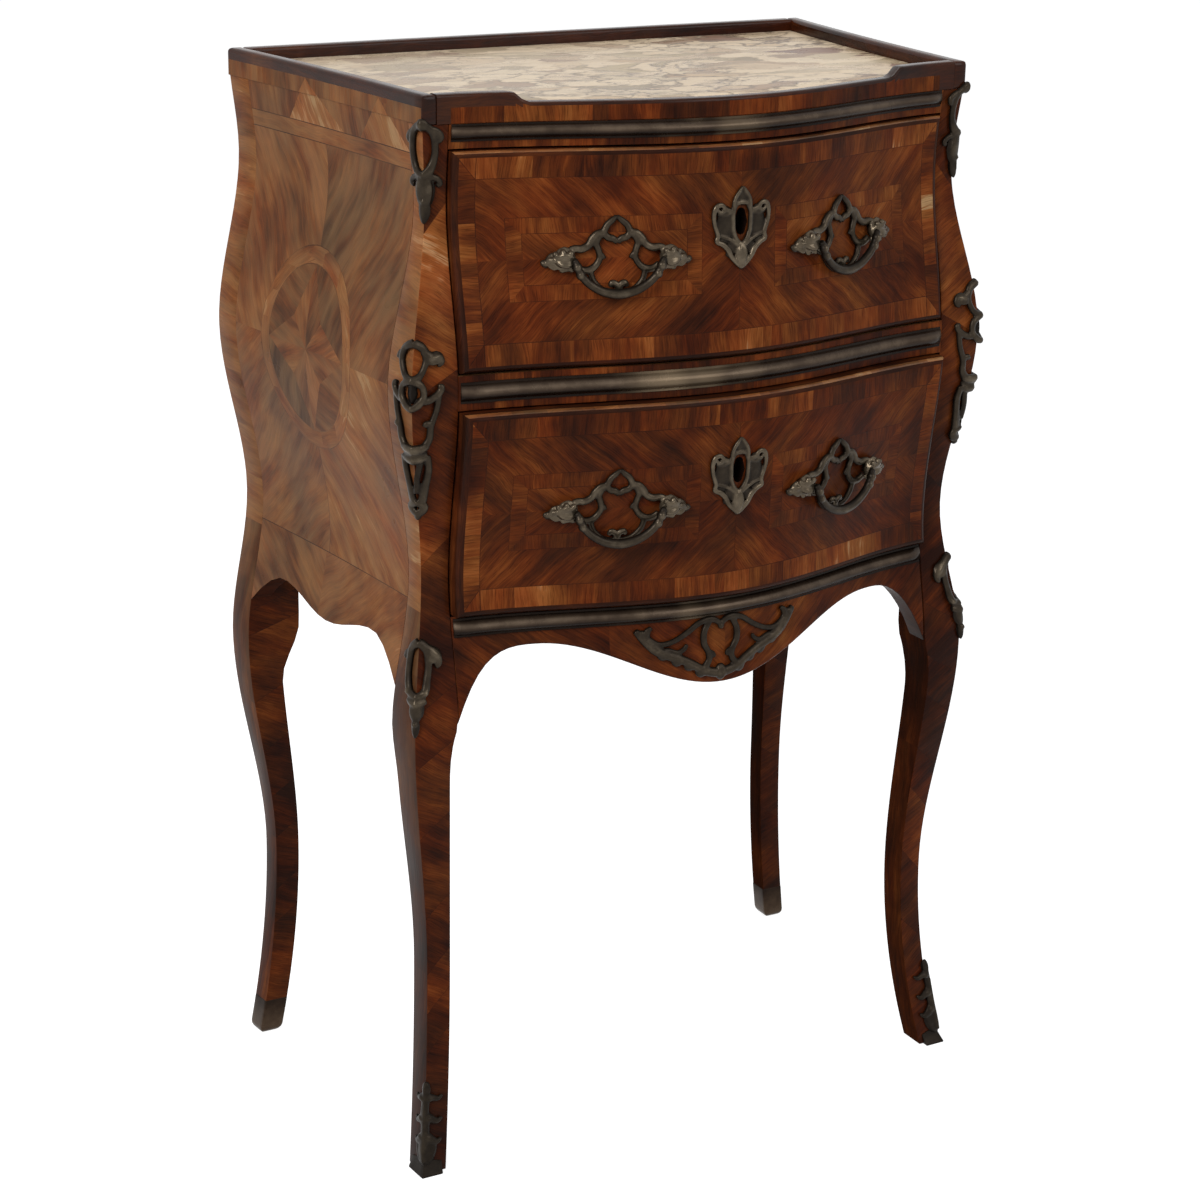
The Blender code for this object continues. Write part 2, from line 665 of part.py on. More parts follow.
def make_bail(name, pivot):
    pin = BOSS_SPREAD - KNUCKLE / 2 - FIT
    arm = [(pin, 0), (BAIL_HALF, 0)]
    for i in range(1, 9):
        angle = math.pi / 2 * i / 8
        arm.append((BAIL_HALF * math.cos(angle) ** 0.8, -BAIL_DROP * math.sin(angle) ** 0.9))
    route = arm[:-1] + [(0, -BAIL_DROP)] + [(-x, z) for x, z in reversed(arm[:-1])]
    curve = bpy.data.curves.new(name, "CURVE")
    curve.dimensions = "3D"
    curve.bevel_depth = BAIL_RADIUS
    curve.bevel_resolution = 2
    curve.use_fill_caps = True
    spline = curve.splines.new("POLY")
    spline.points.add(len(route) - 1)
    for point, (x, z) in zip(spline.points, route):
        point.co = (x, 0, z, 1)
    curve.materials.append(BRONZE)
    bail = bpy.data.objects.new(name, curve)
    parts.objects.link(bail)
    bail.parent = pivot


DRAWERS = (("upper", UPPER_BOTTOM, UPPER_TOP, 0.0), ("lower", LOWER_BOTTOM, LOWER_TOP, LOWER_AJAR))
for word, low, high, ajar in DRAWERS:
    drawer = frame_empty(word + "_drawer", (0, -ajar, 0))
    make_drawer_front(word + "_drawer_front", low, high, drawer)
    make_drawer_box(word, low, drawer)
    make_lock(word, high, drawer)
    make_escutcheon(word, high, drawer)
    make_handle(word, -1, high, drawer)
    make_handle(word, 1, high, drawer)


# Gallery: moulded rim rails on the carcass top, the front one cut lower between its corners.
def gallery_top_z(x):
    start = FRONT_WIDTH / 2 - GALLERY_CORNER
    return HEIGHT - GALLERY_STEP * ease((start - abs(x)) / GALLERY_STEP)


def rim_half(y):
    return side_x(y, HEIGHT)


def make_front_gallery():
    half = rim_half(front_y(0, HEIGHT) + FRONT_BOW) - GALLERY_THICK - FIT
    start = FRONT_WIDTH / 2 - GALLERY_CORNER
    stops = spaced(-half, -start, 6)[:-1] + spaced(-start, GALLERY_STEP - start, 4)
    stops += spaced(GALLERY_STEP - start, 0, 10)[1:]
    stops += [-x for x in reversed(stops[:-1])]

    def place(u, v, w):
        x = stops[round(u * (len(stops) - 1))]
        y = front_y(x, HEIGHT) + GALLERY_THICK * v
        return x, y, mix(HEIGHT - GALLERY_HEIGHT, gallery_top_z(x), w)
    shaped_block("front_gallery_rail", (len(stops) - 1, 1, 1), place, RIM_WOOD)


def make_side_gallery(name, side):
    def place(u, v, w):
        y = mix(-HALF_DEPTH, REAR_Y, u)
        x = rim_half(y) - GALLERY_THICK * v
        return side * x, y, mix(HEIGHT - GALLERY_HEIGHT, HEIGHT, w)
    shaped_block(name, (12, 1, 1), place, RIM_WOOD)


make_front_gallery()
make_side_gallery("left_gallery_rail", -1)
make_side_gallery("right_gallery_rail", 1)
rear_gallery_half = rim_half(REAR_Y - GALLERY_THICK) - GALLERY_THICK - FIT
box("rear_gallery_rail", (-rear_gallery_half, REAR_Y - GALLERY_THICK, HEIGHT - GALLERY_HEIGHT),
    (rear_gallery_half, REAR_Y, HEIGHT), RIM_WOOD)


def marble_place(u, v, w):
    back = REAR_Y - GALLERY_THICK - FIT
    front_corner = GALLERY_THICK + BOARD_FIT - HALF_DEPTH
    along = mix(front_corner, back, v)
    half = rim_half(along) - GALLERY_THICK - BOARD_FIT
    x = mix(-half, half, u)
    y = along - bow(x) * (1 - v)
    return x, y, HEIGHT - GALLERY_HEIGHT + MARBLE_THICK * w


shaped_block("marble_top", (32, 8, 1), marble_place, MARBLE)


# Brass mouldings: half-round strips along the rails and the apron.
def make_band(name, middle):
    def place(u, v, w):
        x = mix(BAND_SETBACK - STILE_X, STILE_X - BAND_SETBACK, u)
        z = middle + BAND_HEIGHT * (w - 0.5)
        crown = BAND_THICK * (0.35 + 0.65 * math.sin(math.pi * w))
        return x, front_y(x, z) - WRAP_FIT - crown * (1 - v), z
    shaped_block(name, (24, 1, 3), place, BRASS)


make_band("top_brass_band", (UPPER_TOP + DRAWER_GAP + CARCASS_TOP) / 2 + TOP_BAND_RISE)
make_band("middle_brass_band", (DIVIDER_TOP + DIVIDER_BOTTOM) / 2)
make_band("bottom_brass_band", APRON_TOP - BOTTOM_BAND_DROP)


# Corner mounts: cast leaves folded round the front corner line.
def leaf(t):
    return 0.30 + 0.70 * math.sin(math.pi * min(1.15 * t, 1.0)) ** 0.8


def cartouche(t):
    return 0.28 + 0.72 * math.sin(math.pi * t ** 0.7) ** 1.5


def knee_leaf(t):
    return 0.25 + 0.75 * math.sin(math.pi * t ** 0.55)


def make_corner_mount(name, side, high, length, width, form):
    def place(u, v, w):
        z = high - length * (1 - w)
        wing = width * form(w)
        front_wing = min(wing, corner_x(z) - STILE_X - FRONT_PROUD / 2)
        out = WRAP_FIT + ORNAMENT_THICK * (1 - v)
        if u <= 0.5:
            x = mix(corner_x(z) - front_wing, corner_x(z) + out, u / 0.5)
            return side * x, front_y(min(x, corner_x(z)), z) - out, z
        y = mix(corner_y(z) - out, corner_y(z) + wing, (u - 0.5) / 0.5)
        return side * (side_x(max(y, corner_y(z)), z) + out), y, z
    shaped_block(name, (4, 1, 10), place, BRONZE)


for side, word in ((-1, "left"), (1, "right")):
    make_corner_mount(word + "_top_corner_mount", side, CARCASS_TOP - FIT, TOP_MOUNT_LENGTH,
                      TOP_MOUNT_WIDTH, leaf)
    make_corner_mount(word + "_middle_corner_mount", side, BELLY_Z + MIDDLE_MOUNT_RISE, MIDDLE_MOUNT_LENGTH,
                      MIDDLE_MOUNT_WIDTH, cartouche)
    make_corner_mount(word + "_knee_mount", side, KNEE_Z + KNEE_MOUNT_RISE, KNEE_MOUNT_LENGTH,
                      KNEE_MOUNT_WIDTH, knee_leaf)


# Apron mount: a spray of scrolls on the dropped centre of the apron.
APRON_MOUNT_HALF = [(0, 0.028), (0.012, 0.024), (0.026, 0.029), (0.040, 0.024), (0.058, 0.027),
                    (0.063, 0.018), (0.050, 0.014), (0.036, 0.010), (0.022, 0.004), (0.010, 0.002), (0, 0)]


def apron_mount_place(across, up, out):
    z = apron_low_z(0) + ORNAMENT_THICK + up
    return across, front_y(across, z) - WRAP_FIT - out, z


apron_mount_loops = [mirrored(APRON_MOUNT_HALF), ellipse(0.020, 0.017, 0.006, 0.004),
                     ellipse(-0.020, 0.017, 0.006, 0.004)]
spray = wrapped_sheet(apron_mount_loops, ORNAMENT_THICK, ORNAMENT_SLICE, apron_mount_place)
add_object("apron_mount", spray, BRONZE)


# The commode stands with the middle of its depth over the origin.
bpy.context.view_layer.update()
reach = [(obj.matrix_world @ Vector(corner)).y for obj in parts.objects if obj.type != "EMPTY"
         for corner in obj.bound_box]
commode.location.y = -(min(reach) + max(reach)) / 2
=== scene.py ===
"""Bombe bedside commode in kingwood and tulipwood veneer, with a marble top and patinated bronze mounts."""
import math
import random

import bmesh
import bpy
from mathutils import Matrix, Vector


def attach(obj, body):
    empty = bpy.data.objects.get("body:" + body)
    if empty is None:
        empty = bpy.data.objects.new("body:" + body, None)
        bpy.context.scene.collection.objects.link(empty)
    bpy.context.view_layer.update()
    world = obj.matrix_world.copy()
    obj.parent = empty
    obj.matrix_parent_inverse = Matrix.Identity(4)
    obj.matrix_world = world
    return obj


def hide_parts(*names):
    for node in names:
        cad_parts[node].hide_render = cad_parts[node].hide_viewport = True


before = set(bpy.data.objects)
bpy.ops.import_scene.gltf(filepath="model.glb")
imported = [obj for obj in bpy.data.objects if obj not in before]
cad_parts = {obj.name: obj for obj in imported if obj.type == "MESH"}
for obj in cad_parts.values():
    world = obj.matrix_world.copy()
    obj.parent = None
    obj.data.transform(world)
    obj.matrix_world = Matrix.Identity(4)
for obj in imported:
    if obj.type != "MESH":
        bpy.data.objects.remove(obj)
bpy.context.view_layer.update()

# Stage: a wide pale floor, a large soft lamp high on the left, weaker ones on the right and from behind,
# and a long lens at chest height that looks at the left front corner. The floor and the sky look white
# to the camera and in reflections, while the commode itself is lit by the lamps and a dim sky.
scene = bpy.context.scene
scene.view_settings.view_transform = "Standard"


def set_inputs(owner, node, **values):
    """Sets a node's options and inputs by name, or its inputs by number as i0, i1; sockets are linked."""
    for key, value in values.items():
        linked = isinstance(value, bpy.types.NodeSocket)
        if hasattr(node, key) and not linked:
            setattr(node, key, value)
            continue
        socket = node.inputs[int(key[1:]) if key[0] == "i" and key[1:].isdigit() else key.replace("_", " ")]
        if linked:
            owner.node_tree.links.new(value, socket)
        else:
            socket.default_value = value


def add_node(owner, kind, **values):
    """A shader node in a material or a world."""
    node = owner.node_tree.nodes.new("ShaderNode" + kind)
    set_inputs(owner, node, **values)
    return node


def math_node(owner, operation, *terms):
    numbered = {f"i{index}": term for index, term in enumerate(terms)}
    return add_node(owner, "Math", operation=operation, **numbered).outputs[0]


def new_material(name):
    """An empty material and its shader."""
    material = bpy.data.materials.new(name)
    material.use_nodes = True
    return material, material.node_tree.nodes["Principled BSDF"]


def seen_directly(owner):
    """1 for rays from the camera and for mirror and glass rays, 0 for the light on the commode."""
    rays = add_node(owner, "LightPath").outputs
    seen = math_node(owner, "MAXIMUM", rays["Is Camera Ray"], rays["Is Glossy Ray"])
    return math_node(owner, "MAXIMUM", seen, rays["Is Transmission Ray"])


world = bpy.data.worlds.new("studio")
world.use_nodes = True
scene.world = world
ambient = add_node(world, "Background", Color=(0.93, 0.95, 1.0, 1), Strength=0.32)
white = add_node(world, "Background", Color=(1, 1, 1, 1), Strength=1.0)
sky = add_node(world, "MixShader", Fac=seen_directly(world), i1=ambient.outputs[0], i2=white.outputs[0])
set_inputs(world, world.node_tree.nodes["World Output"], Surface=sky.outputs[0])

floor_mesh = bmesh.new()
bmesh.ops.create_grid(floor_mesh, x_segments=1, y_segments=1, size=14)
floor_data = bpy.data.meshes.new("floor")
floor_mesh.to_mesh(floor_data)
floor = bpy.data.objects.new("floor", floor_data)
scene.collection.objects.link(floor)
FLOOR_GLOW = 0.86
floor_paper, paper = new_material("floor_paper")
glow = math_node(floor_paper, "MULTIPLY", seen_directly(floor_paper), FLOOR_GLOW)
set_inputs(floor_paper, paper, Base_Color=(0.50, 0.50, 0.50, 1), Roughness=0.9, Specular_IOR_Level=0.0,
           Emission_Color=(1, 1, 1, 1), Emission_Strength=glow)
floor_data.materials.append(floor_paper)


def soft_lamp(name, place, target, size, watts):
    lamp = bpy.data.lights.new(name, "AREA")
    lamp.shape = "DISK"
    lamp.size = size
    lamp.energy = watts
    holder = bpy.data.objects.new(name, lamp)
    holder.location = place
    holder.rotation_mode = "QUATERNION"
    holder.rotation_quaternion = (Vector(target) - Vector(place)).to_track_quat("-Z", "Y")
    scene.collection.objects.link(holder)


soft_lamp("key_lamp", (-2.3, -1.35, 2.1), target=(0, 0, 0.5), size=1.6, watts=66)
soft_lamp("fill_lamp", (1.2, -2.4, 2.0), target=(0, 0, 0.5), size=1.8, watts=22)
soft_lamp("top_lamp", (0.2, 0.9, 2.9), target=(0, 0, 0.6), size=1.6, watts=20)

CAMERA_AZIMUTH = math.radians(-29.64)
CAMERA_ELEVATION = math.radians(18.53)
CAMERA_ROLL = math.radians(1.03)
CAMERA_DISTANCE = 2.230
CAMERA_TARGET = Vector((-0.003, 0.0332, 0.372))
back = Vector((math.sin(CAMERA_AZIMUTH) * math.cos(CAMERA_ELEVATION),
               -math.cos(CAMERA_AZIMUTH) * math.cos(CAMERA_ELEVATION), math.sin(CAMERA_ELEVATION)))
right = (-back).cross(Vector((0, 0, 1))).normalized()
above = right.cross(-back)
rolled_right = right * math.cos(CAMERA_ROLL) + above * math.sin(CAMERA_ROLL)
rolled_up = above * math.cos(CAMERA_ROLL) - right * math.sin(CAMERA_ROLL)
lens = bpy.data.cameras.new("photo_lens")
lens.lens, lens.sensor_width = 84.65, 36
lens.clip_start, lens.clip_end = 0.05, 60
camera = bpy.data.objects.new("photo_lens", lens)
turn = Matrix((rolled_right, rolled_up, back)).transposed().to_4x4()
camera.matrix_world = Matrix.Translation(CAMERA_TARGET + back * CAMERA_DISTANCE) @ turn
scene.collection.objects.link(camera)
scene.camera = camera

# Legs: four cabriole legs of beech that run up as the corner stiles of the carcass. The two outer
# faces are veneered in slanting leaves of kingwood, and the inner faces are stained nearly black.
HEIGHT = 0.800
FACE_Y, REAR_Y = -0.102731, 0.169069
FRONT_HALF, REAR_HALF = 0.2237, 0.2512
FRONT_BOW, SIDE_HOLLOW, CENTRE_CALM = 0.044, 0.003, 0.80
ANKLE_Z, KNEE_Z, WAIST_Z, BELLY_Z, NECK_Z = 0.160, 0.345, 0.460, 0.595, 0.725
FRONT_SIDE_SWELL = (0.0120, -0.0020, 0.0140, 0.0007, 0.0150, -0.0043)
FRONT_FACE_SWELL = (0.0222, 0.0006, 0.0151, -0.0022, 0.0137, -0.0057)
REAR_SIDE_SWELL = (0.0065, -0.0166, 0.0080, -0.0068, 0.0127, -0.0067)
STILE_X, POST_Y = 0.2035, -0.081831
REAR_STILE_X, REAR_POST_Y = 0.2134, 0.143069
CARCASS_TOP = 0.7797
SHOULDER_Z, SHOULDER_BLEND, ARCH_SWEEP = 0.3522, 0.048, 2.8
CAP_TOP, SHOE_WALL = 0.028, 0.0026
FRONT_LEG_WIDTH, FRONT_LEG_DEPTH = (0.0185, 0.0275), (0.0225, 0.0300)
REAR_LEG_WIDTH, REAR_LEG_DEPTH = (0.021, 0.030), (0.0175, 0.025)
REAR_TOE_KICK, RIGHT_REAR_LEAN = 0.010, 0.018
LEG_BLOCK, LEG_END, LEG_SLICE, LEG_ROUND = 0.030, 0.022, 0.011, 0.0017
LEG_GLUE, FIRST_JOINT_Z = 0.00025, 0.10
LEG_LEAF_LENGTHS, LEG_LEAF_SHADES, KNEE_SHADE = (0.026, 0.070), (-0.14, 0.34), -0.04
SIDE_VENEER_Z, SIDE_DARKENING_Z = 0.44, 0.43
# The third stile leaf is painted pale: a painted highlight where the upper stile catches the light.
STILE_JOINTS, STILE_SHADES_AND_HIGHLIGHT = (0.374, 0.480, 0.604, 0.716), (-0.02, 0.24, 0.70, 0.06)
# The outer sides are paler by this share: sun bleaching, with a painted sheen of reflected light.
SIDE_FADE_AND_SHEEN = 0.30


def clamp(t):
    return min(max(t, 0.0), 1.0)


def ease(t):
    t = clamp(t)
    return t * t * (3 - 2 * t)


def mix(a, b, t):
    return a + (b - a) * t


def toe_share(z):
    """1 on the floor, falling to 0 at the ankle."""
    return max(1 - z / ANKLE_Z, 0) ** 2


def swell(z, stations):
    """How far a corner line stands out at height z, eased between toe, ankle, knee, waist, belly and neck."""
    rest = list(stations[1:]) + [0.0]
    levels = (ANKLE_Z, KNEE_Z, WAIST_Z, BELLY_Z, NECK_Z, HEIGHT)
    if z <= ANKLE_Z:
        return mix(rest[0], stations[0], toe_share(z))
    for i in range(5):
        if z <= levels[i + 1]:
            return mix(rest[i], rest[i + 1], ease((z - levels[i]) / (levels[i + 1] - levels[i])))
    return rest[-1]


def corner_x(z):
    return FRONT_HALF + swell(z, FRONT_SIDE_SWELL)


def corner_y(z):
    return FACE_Y - swell(z, FRONT_FACE_SWELL)


def rear_x(z):
    return REAR_HALF + swell(z, REAR_SIDE_SWELL)


def bow(x):
    return FRONT_BOW * 0.5 * (1 + math.cos(math.pi * min(abs(x) / FRONT_HALF, 1.0)))


def front_y(x, z):
    """The serpentine, swelling front of the carcass."""
    return FACE_Y - swell(z, FRONT_FACE_SWELL) * (1 - CENTRE_CALM * bow(x) / FRONT_BOW) - bow(x)


def side_x(y, z):
    """The swelling side of the carcass, as a distance from the middle."""
    t = (y - corner_y(z)) / (REAR_Y - corner_y(z))
    return mix(corner_x(z), rear_x(z), t) - SIDE_HOLLOW * math.sin(math.pi * clamp(t))


def into_post(z):
    return ease((z - SHOULDER_Z + SHOULDER_BLEND) / SHOULDER_BLEND)


def into_arch(z):
    """The inner edge of a front leg sweeps in at the slope at which the arch of the apron starts."""
    return clamp((z - SHOULDER_Z + SHOULDER_BLEND) / SHOULDER_BLEND) ** ARCH_SWEEP


def knee_taper(z, ankle, knee):
    return mix(ankle, knee, ease((z - ANKLE_Z) / (KNEE_Z - ANKLE_Z)))


def front_leg_point(u, v, z):
    width, depth = knee_taper(z, *FRONT_LEG_WIDTH), knee_taper(z, *FRONT_LEG_DEPTH)
    inner = mix(corner_x(z) - width, STILE_X, into_arch(z))
    behind = mix(corner_y(z) + depth, POST_Y, into_post(z))
    y = mix(corner_y(z), behind, v)
    x = mix(inner, side_x(y, z), u)
    return x, y - bow(x) * (1 - v), z


def rear_leg_point(u, v, z):
    kick = REAR_TOE_KICK * toe_share(z)
    width, depth = knee_taper(z, *REAR_LEG_WIDTH), knee_taper(z, *REAR_LEG_DEPTH)
    inner = mix(rear_x(z) - width, REAR_STILE_X, into_post(z))
    face = mix(REAR_Y - kick - depth, REAR_POST_Y, into_post(z))
    y = mix(face, REAR_Y - kick, v)
    return mix(inner, side_x(min(y, REAR_Y), z), u), y, z


def right_rear_leg_point(u, v, z):
    """The right rear leg is less curved than the left one: its ankle stands further out."""
    x, y, z = rear_leg_point(u, v, z)
    return x + RIGHT_REAR_LEAN * ease((KNEE_Z - z) / (KNEE_Z - ANKLE_Z)) * (1 - toe_share(z)), y, z


def block(low, high, stops=((), (), ())):
    """A sawn block between two corners, sliced across at the stops given for each axis."""
    bm = bmesh.new()
    size = [b - a for a, b in zip(low, high)]
    middle = [(a + b) / 2 for a, b in zip(low, high)]
    bmesh.ops.create_cube(bm, size=1, matrix=Matrix.Translation(middle) @ Matrix.Diagonal((*size, 1)))
    for axis, places in enumerate(stops):
        normal = Vector((axis == 0, axis == 1, axis == 2))
        for place in places:
            saw(bm, normal * place, normal)
    return bm


def with_edges(faces):
    """The faces with their edges and corners, each once and in a steady order."""
    return list(dict.fromkeys(part for f in faces for part in (f, *f.edges, *f.verts)))


def saw(bm, point, normal, within=None):
    """Cuts the faces whose middle is within the given test along a plane, without taking anything away."""
    faces = [f for f in bm.faces if within is None or within(f.calc_center_median())]
    bmesh.ops.bisect_plane(bm, geom=with_edges(faces), dist=1e-7, plane_co=point, plane_no=normal)


def stops_between(a, b, step):
    count = max(int(round((b - a) / step)), 1)
    return [mix(a, b, i / count) for i in range(1, count)]


def bend(bm, place):
    """Carries every point of a flat blank to its place on the swelling form."""
    for vert in bm.verts:
        vert.co = place(*vert.co)
    bm.normal_update()
    bmesh.ops.recalc_face_normals(bm, faces=bm.faces[:])


def round_edges(bm, width, segments, wanted=None, angle=0.7):
    """Rounds the sharp edges that pass the test by a bevel."""
    bm.normal_update()
    edges = [e for e in bm.edges if len(e.link_faces) == 2 and e.calc_face_angle() > angle
             and (wanted is None or wanted((e.verts[0].co + e.verts[1].co) / 2))]
    bmesh.ops.bevel(bm, geom=edges, offset=width, offset_type="OFFSET", segments=segments, profile=0.5,
                    affect="EDGES", material=-1, clamp_overlap=True)
    bm.normal_update()


def lay_veneer(bm, leaf_of, polished=None):
    """Glues a leaf on each face: leaf_of(middle, normal) gives grain angle, shade, figure, darkness and,
    where a side is paler, a share for sun bleaching and painted sheen. The grain map runs along the grain
    in metres. Faces that pass the polished test take the piece's second material."""
    grain = bm.loops.layers.uv.new("grain")
    tone = bm.loops.layers.float_color.new("tone")
    faded_with_sheen = bm.faces.layers.float.new("fade_and_sheen")
    bm.normal_update()
    for face in bm.faces:
        angle, shade, figure, dark, *fade_and_sheen = leaf_of(face.calc_center_median(), face.normal)
        face[faded_with_sheen] = fade_and_sheen[0] if fade_and_sheen else 0.0
        face.material_index = int(bool(polished and polished(face.calc_center_median(), face.normal)))
        c, s = math.cos(math.radians(angle)), math.sin(math.radians(angle))
        size = [abs(n) for n in face.normal]
        across, up = ((1, 2), (0, 2), (0, 1))[size.index(max(size))]
        for loop in face.loops:
            a, b = loop.vert.co[across], loop.vert.co[up]
            loop[grain].uv = (c * a + s * b + figure * 3.1, c * b - s * a + figure * 1.7)
            loop[tone] = (shade, figure, dark, 1)


def make_piece(name, bm, material, body, slot, *nodes, smooth=math.radians(38)):
    """Finishes a mesh as a piece of the commode that rides on a body and stands for CAD nodes."""
    data = bpy.data.meshes.new(name)
    bm.to_mesh(data)
    bm.free()
    for finish in material if isinstance(material, tuple) else (material,):
        data.materials.append(finish)
    data.polygons.foreach_set("use_smooth", [True] * len(data.polygons))
    data.set_sharp_from_angle(angle=smooth)
    piece = bpy.data.objects.new(name, data)
    scene.collection.objects.link(piece)
    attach(piece, body)
    if nodes:
        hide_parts(*nodes)
    return piece


def colour_ramp(owner, factor, stops):
    ramp = add_node(owner, "ValToRGB", Fac=factor)
    elements = ramp.color_ramp.elements
    while len(elements) < len(stops):
        elements.new(0.5)
    for element, (position, colour) in zip(elements, stops):
        element.position = position
        element.color = (*colour, 1)
    return ramp.outputs[0]


def object_spot(owner):
    return add_node(owner, "TexCoord").outputs["Object"]


def attribute(owner, name, output="Fac"):
    return add_node(owner, "Attribute", attribute_name=name).outputs[output]


def noise(owner, vector, scale, detail, roughness=0.5, distortion=0.0):
    return add_node(owner, "TexNoise", Vector=vector, Scale=scale, Detail=detail, Roughness=roughness,
                    Distortion=distortion).outputs[0]


def remap(owner, value, low, high, to_low, to_high):
    return add_node(owner, "MapRange", Value=value, i1=low, i2=high, i3=to_low, i4=to_high).outputs[0]


def blend(owner, share, first, second, kind="MIX"):
    return add_node(owner, "Mix", data_type="RGBA", blend_type=kind, i0=share, i6=first, i7=second).outputs[2]


def bump(owner, strength, distance, height):
    return add_node(owner, "Bump", Strength=strength, Distance=distance, Height=height).outputs[0]


def veneer_wood(name, ior, shine, smooth, rough):
    """Kingwood and tulipwood under old shellac: streaks along each leaf's grain, pores, dark joints."""
    wood, shader = new_material(name)
    grain = add_node(wood, "UVMap", uv_map="grain").outputs[0]
    shade, figure, dark = add_node(wood, "SeparateColor", Color=attribute(wood, "tone", "Color")).outputs[:3]
    flow = add_node(wood, "SeparateXYZ", Vector=grain).outputs
    bent = math_node(wood, "MULTIPLY_ADD", noise(wood, grain, 14.0, 2.0), 0.018, flow[1])

    def streaks(along, across, detail, seed):
        place = add_node(wood, "CombineXYZ", X=math_node(wood, "MULTIPLY", flow[0], along),
                         Y=math_node(wood, "MULTIPLY", bent, across),
                         Z=math_node(wood, "MULTIPLY", figure, seed))
        return noise(wood, place.outputs[0], 1.0, detail, 0.6)

    spot = object_spot(wood)
    flame = streaks(15, 62, 2.0, 19.0)
    broad = streaks(16, 230, 3.0, 31.0)
    fine = streaks(40, 760, 2.0, 57.0)
    pores = streaks(90, 2300, 1.0, 83.0)
    patch = noise(wood, spot, 22.0, 3.0, 0.6)
    drift = noise(wood, spot, 8.0, 2.0)
    level = math_node(wood, "MULTIPLY_ADD", shade, 0.46, -1.215)
    for part, weight in ((flame, 0.64), (broad, 0.50), (fine, 0.32), (patch, 0.82), (drift, 0.72)):
        level = math_node(wood, "MULTIPLY_ADD", part, weight, level)
    # The pale last stop is reached by the painted highlight on the drawers' top lips and by the palest side
    # leaves.
    colour = colour_ramp(wood, level, ((0.08, (0.020, 0.0054, 0.0026)), (0.32, (0.053, 0.0122, 0.0040)),
                                       (0.52, (0.104, 0.0238, 0.0060)), (0.70, (0.178, 0.0460, 0.0105)),
                                       (0.92, (0.280, 0.0900, 0.0240)), (1.0, (0.42, 0.220, 0.105))))
    hue = colour_ramp(wood, streaks(10, 30, 2.0, 11.0),
                      ((0.36, (1.0, 0.84, 0.76)), (0.64, (1.0, 1.12, 1.08))))
    colour = blend(wood, 1.0, colour, hue, "MULTIPLY")
    colour = blend(wood, 1.0, colour, remap(wood, pores, 0.36, 0.46, 0.60, 1.0), "MULTIPLY")
    # Where a face has that share, its colour is mixed towards pale tan: sun bleaching together with a painted
    # sheen, the grey-white reflection seen on the sides.
    fade_and_sheen_share = math_node(wood, "MULTIPLY", attribute(wood, "fade_and_sheen"), remap(wood, flame, 0.38, 0.62, 0.45, 1.55))
    colour = blend(wood, fade_and_sheen_share, colour, (0.245, 0.140, 0.060, 1))
    set_inputs(wood, shader, Base_Color=blend(wood, dark, colour, (0.0085, 0.0045, 0.0032, 1)),
               Roughness=remap(wood, patch, 0.3, 0.7, smooth, rough), IOR=ior, Specular_IOR_Level=shine,
               Normal=bump(wood, 0.22, 0.0004, fine))
    return wood


kingwood = veneer_wood("kingwood_veneer", ior=1.12, shine=0.60, smooth=0.27, rough=0.42)
polished_kingwood = veneer_wood("polished_kingwood", ior=1.16, shine=0.90, smooth=0.14, rough=0.28)
# Glossy kingwood for the painted highlight along the top lips of the drawers.
highlight_lip_kingwood = veneer_wood("highlight_lip_kingwood", ior=1.20, shine=1.0, smooth=0.10, rough=0.30)
stained_beech = veneer_wood("stained_beech", ior=1.04, shine=0.50, smooth=0.55, rough=0.75)


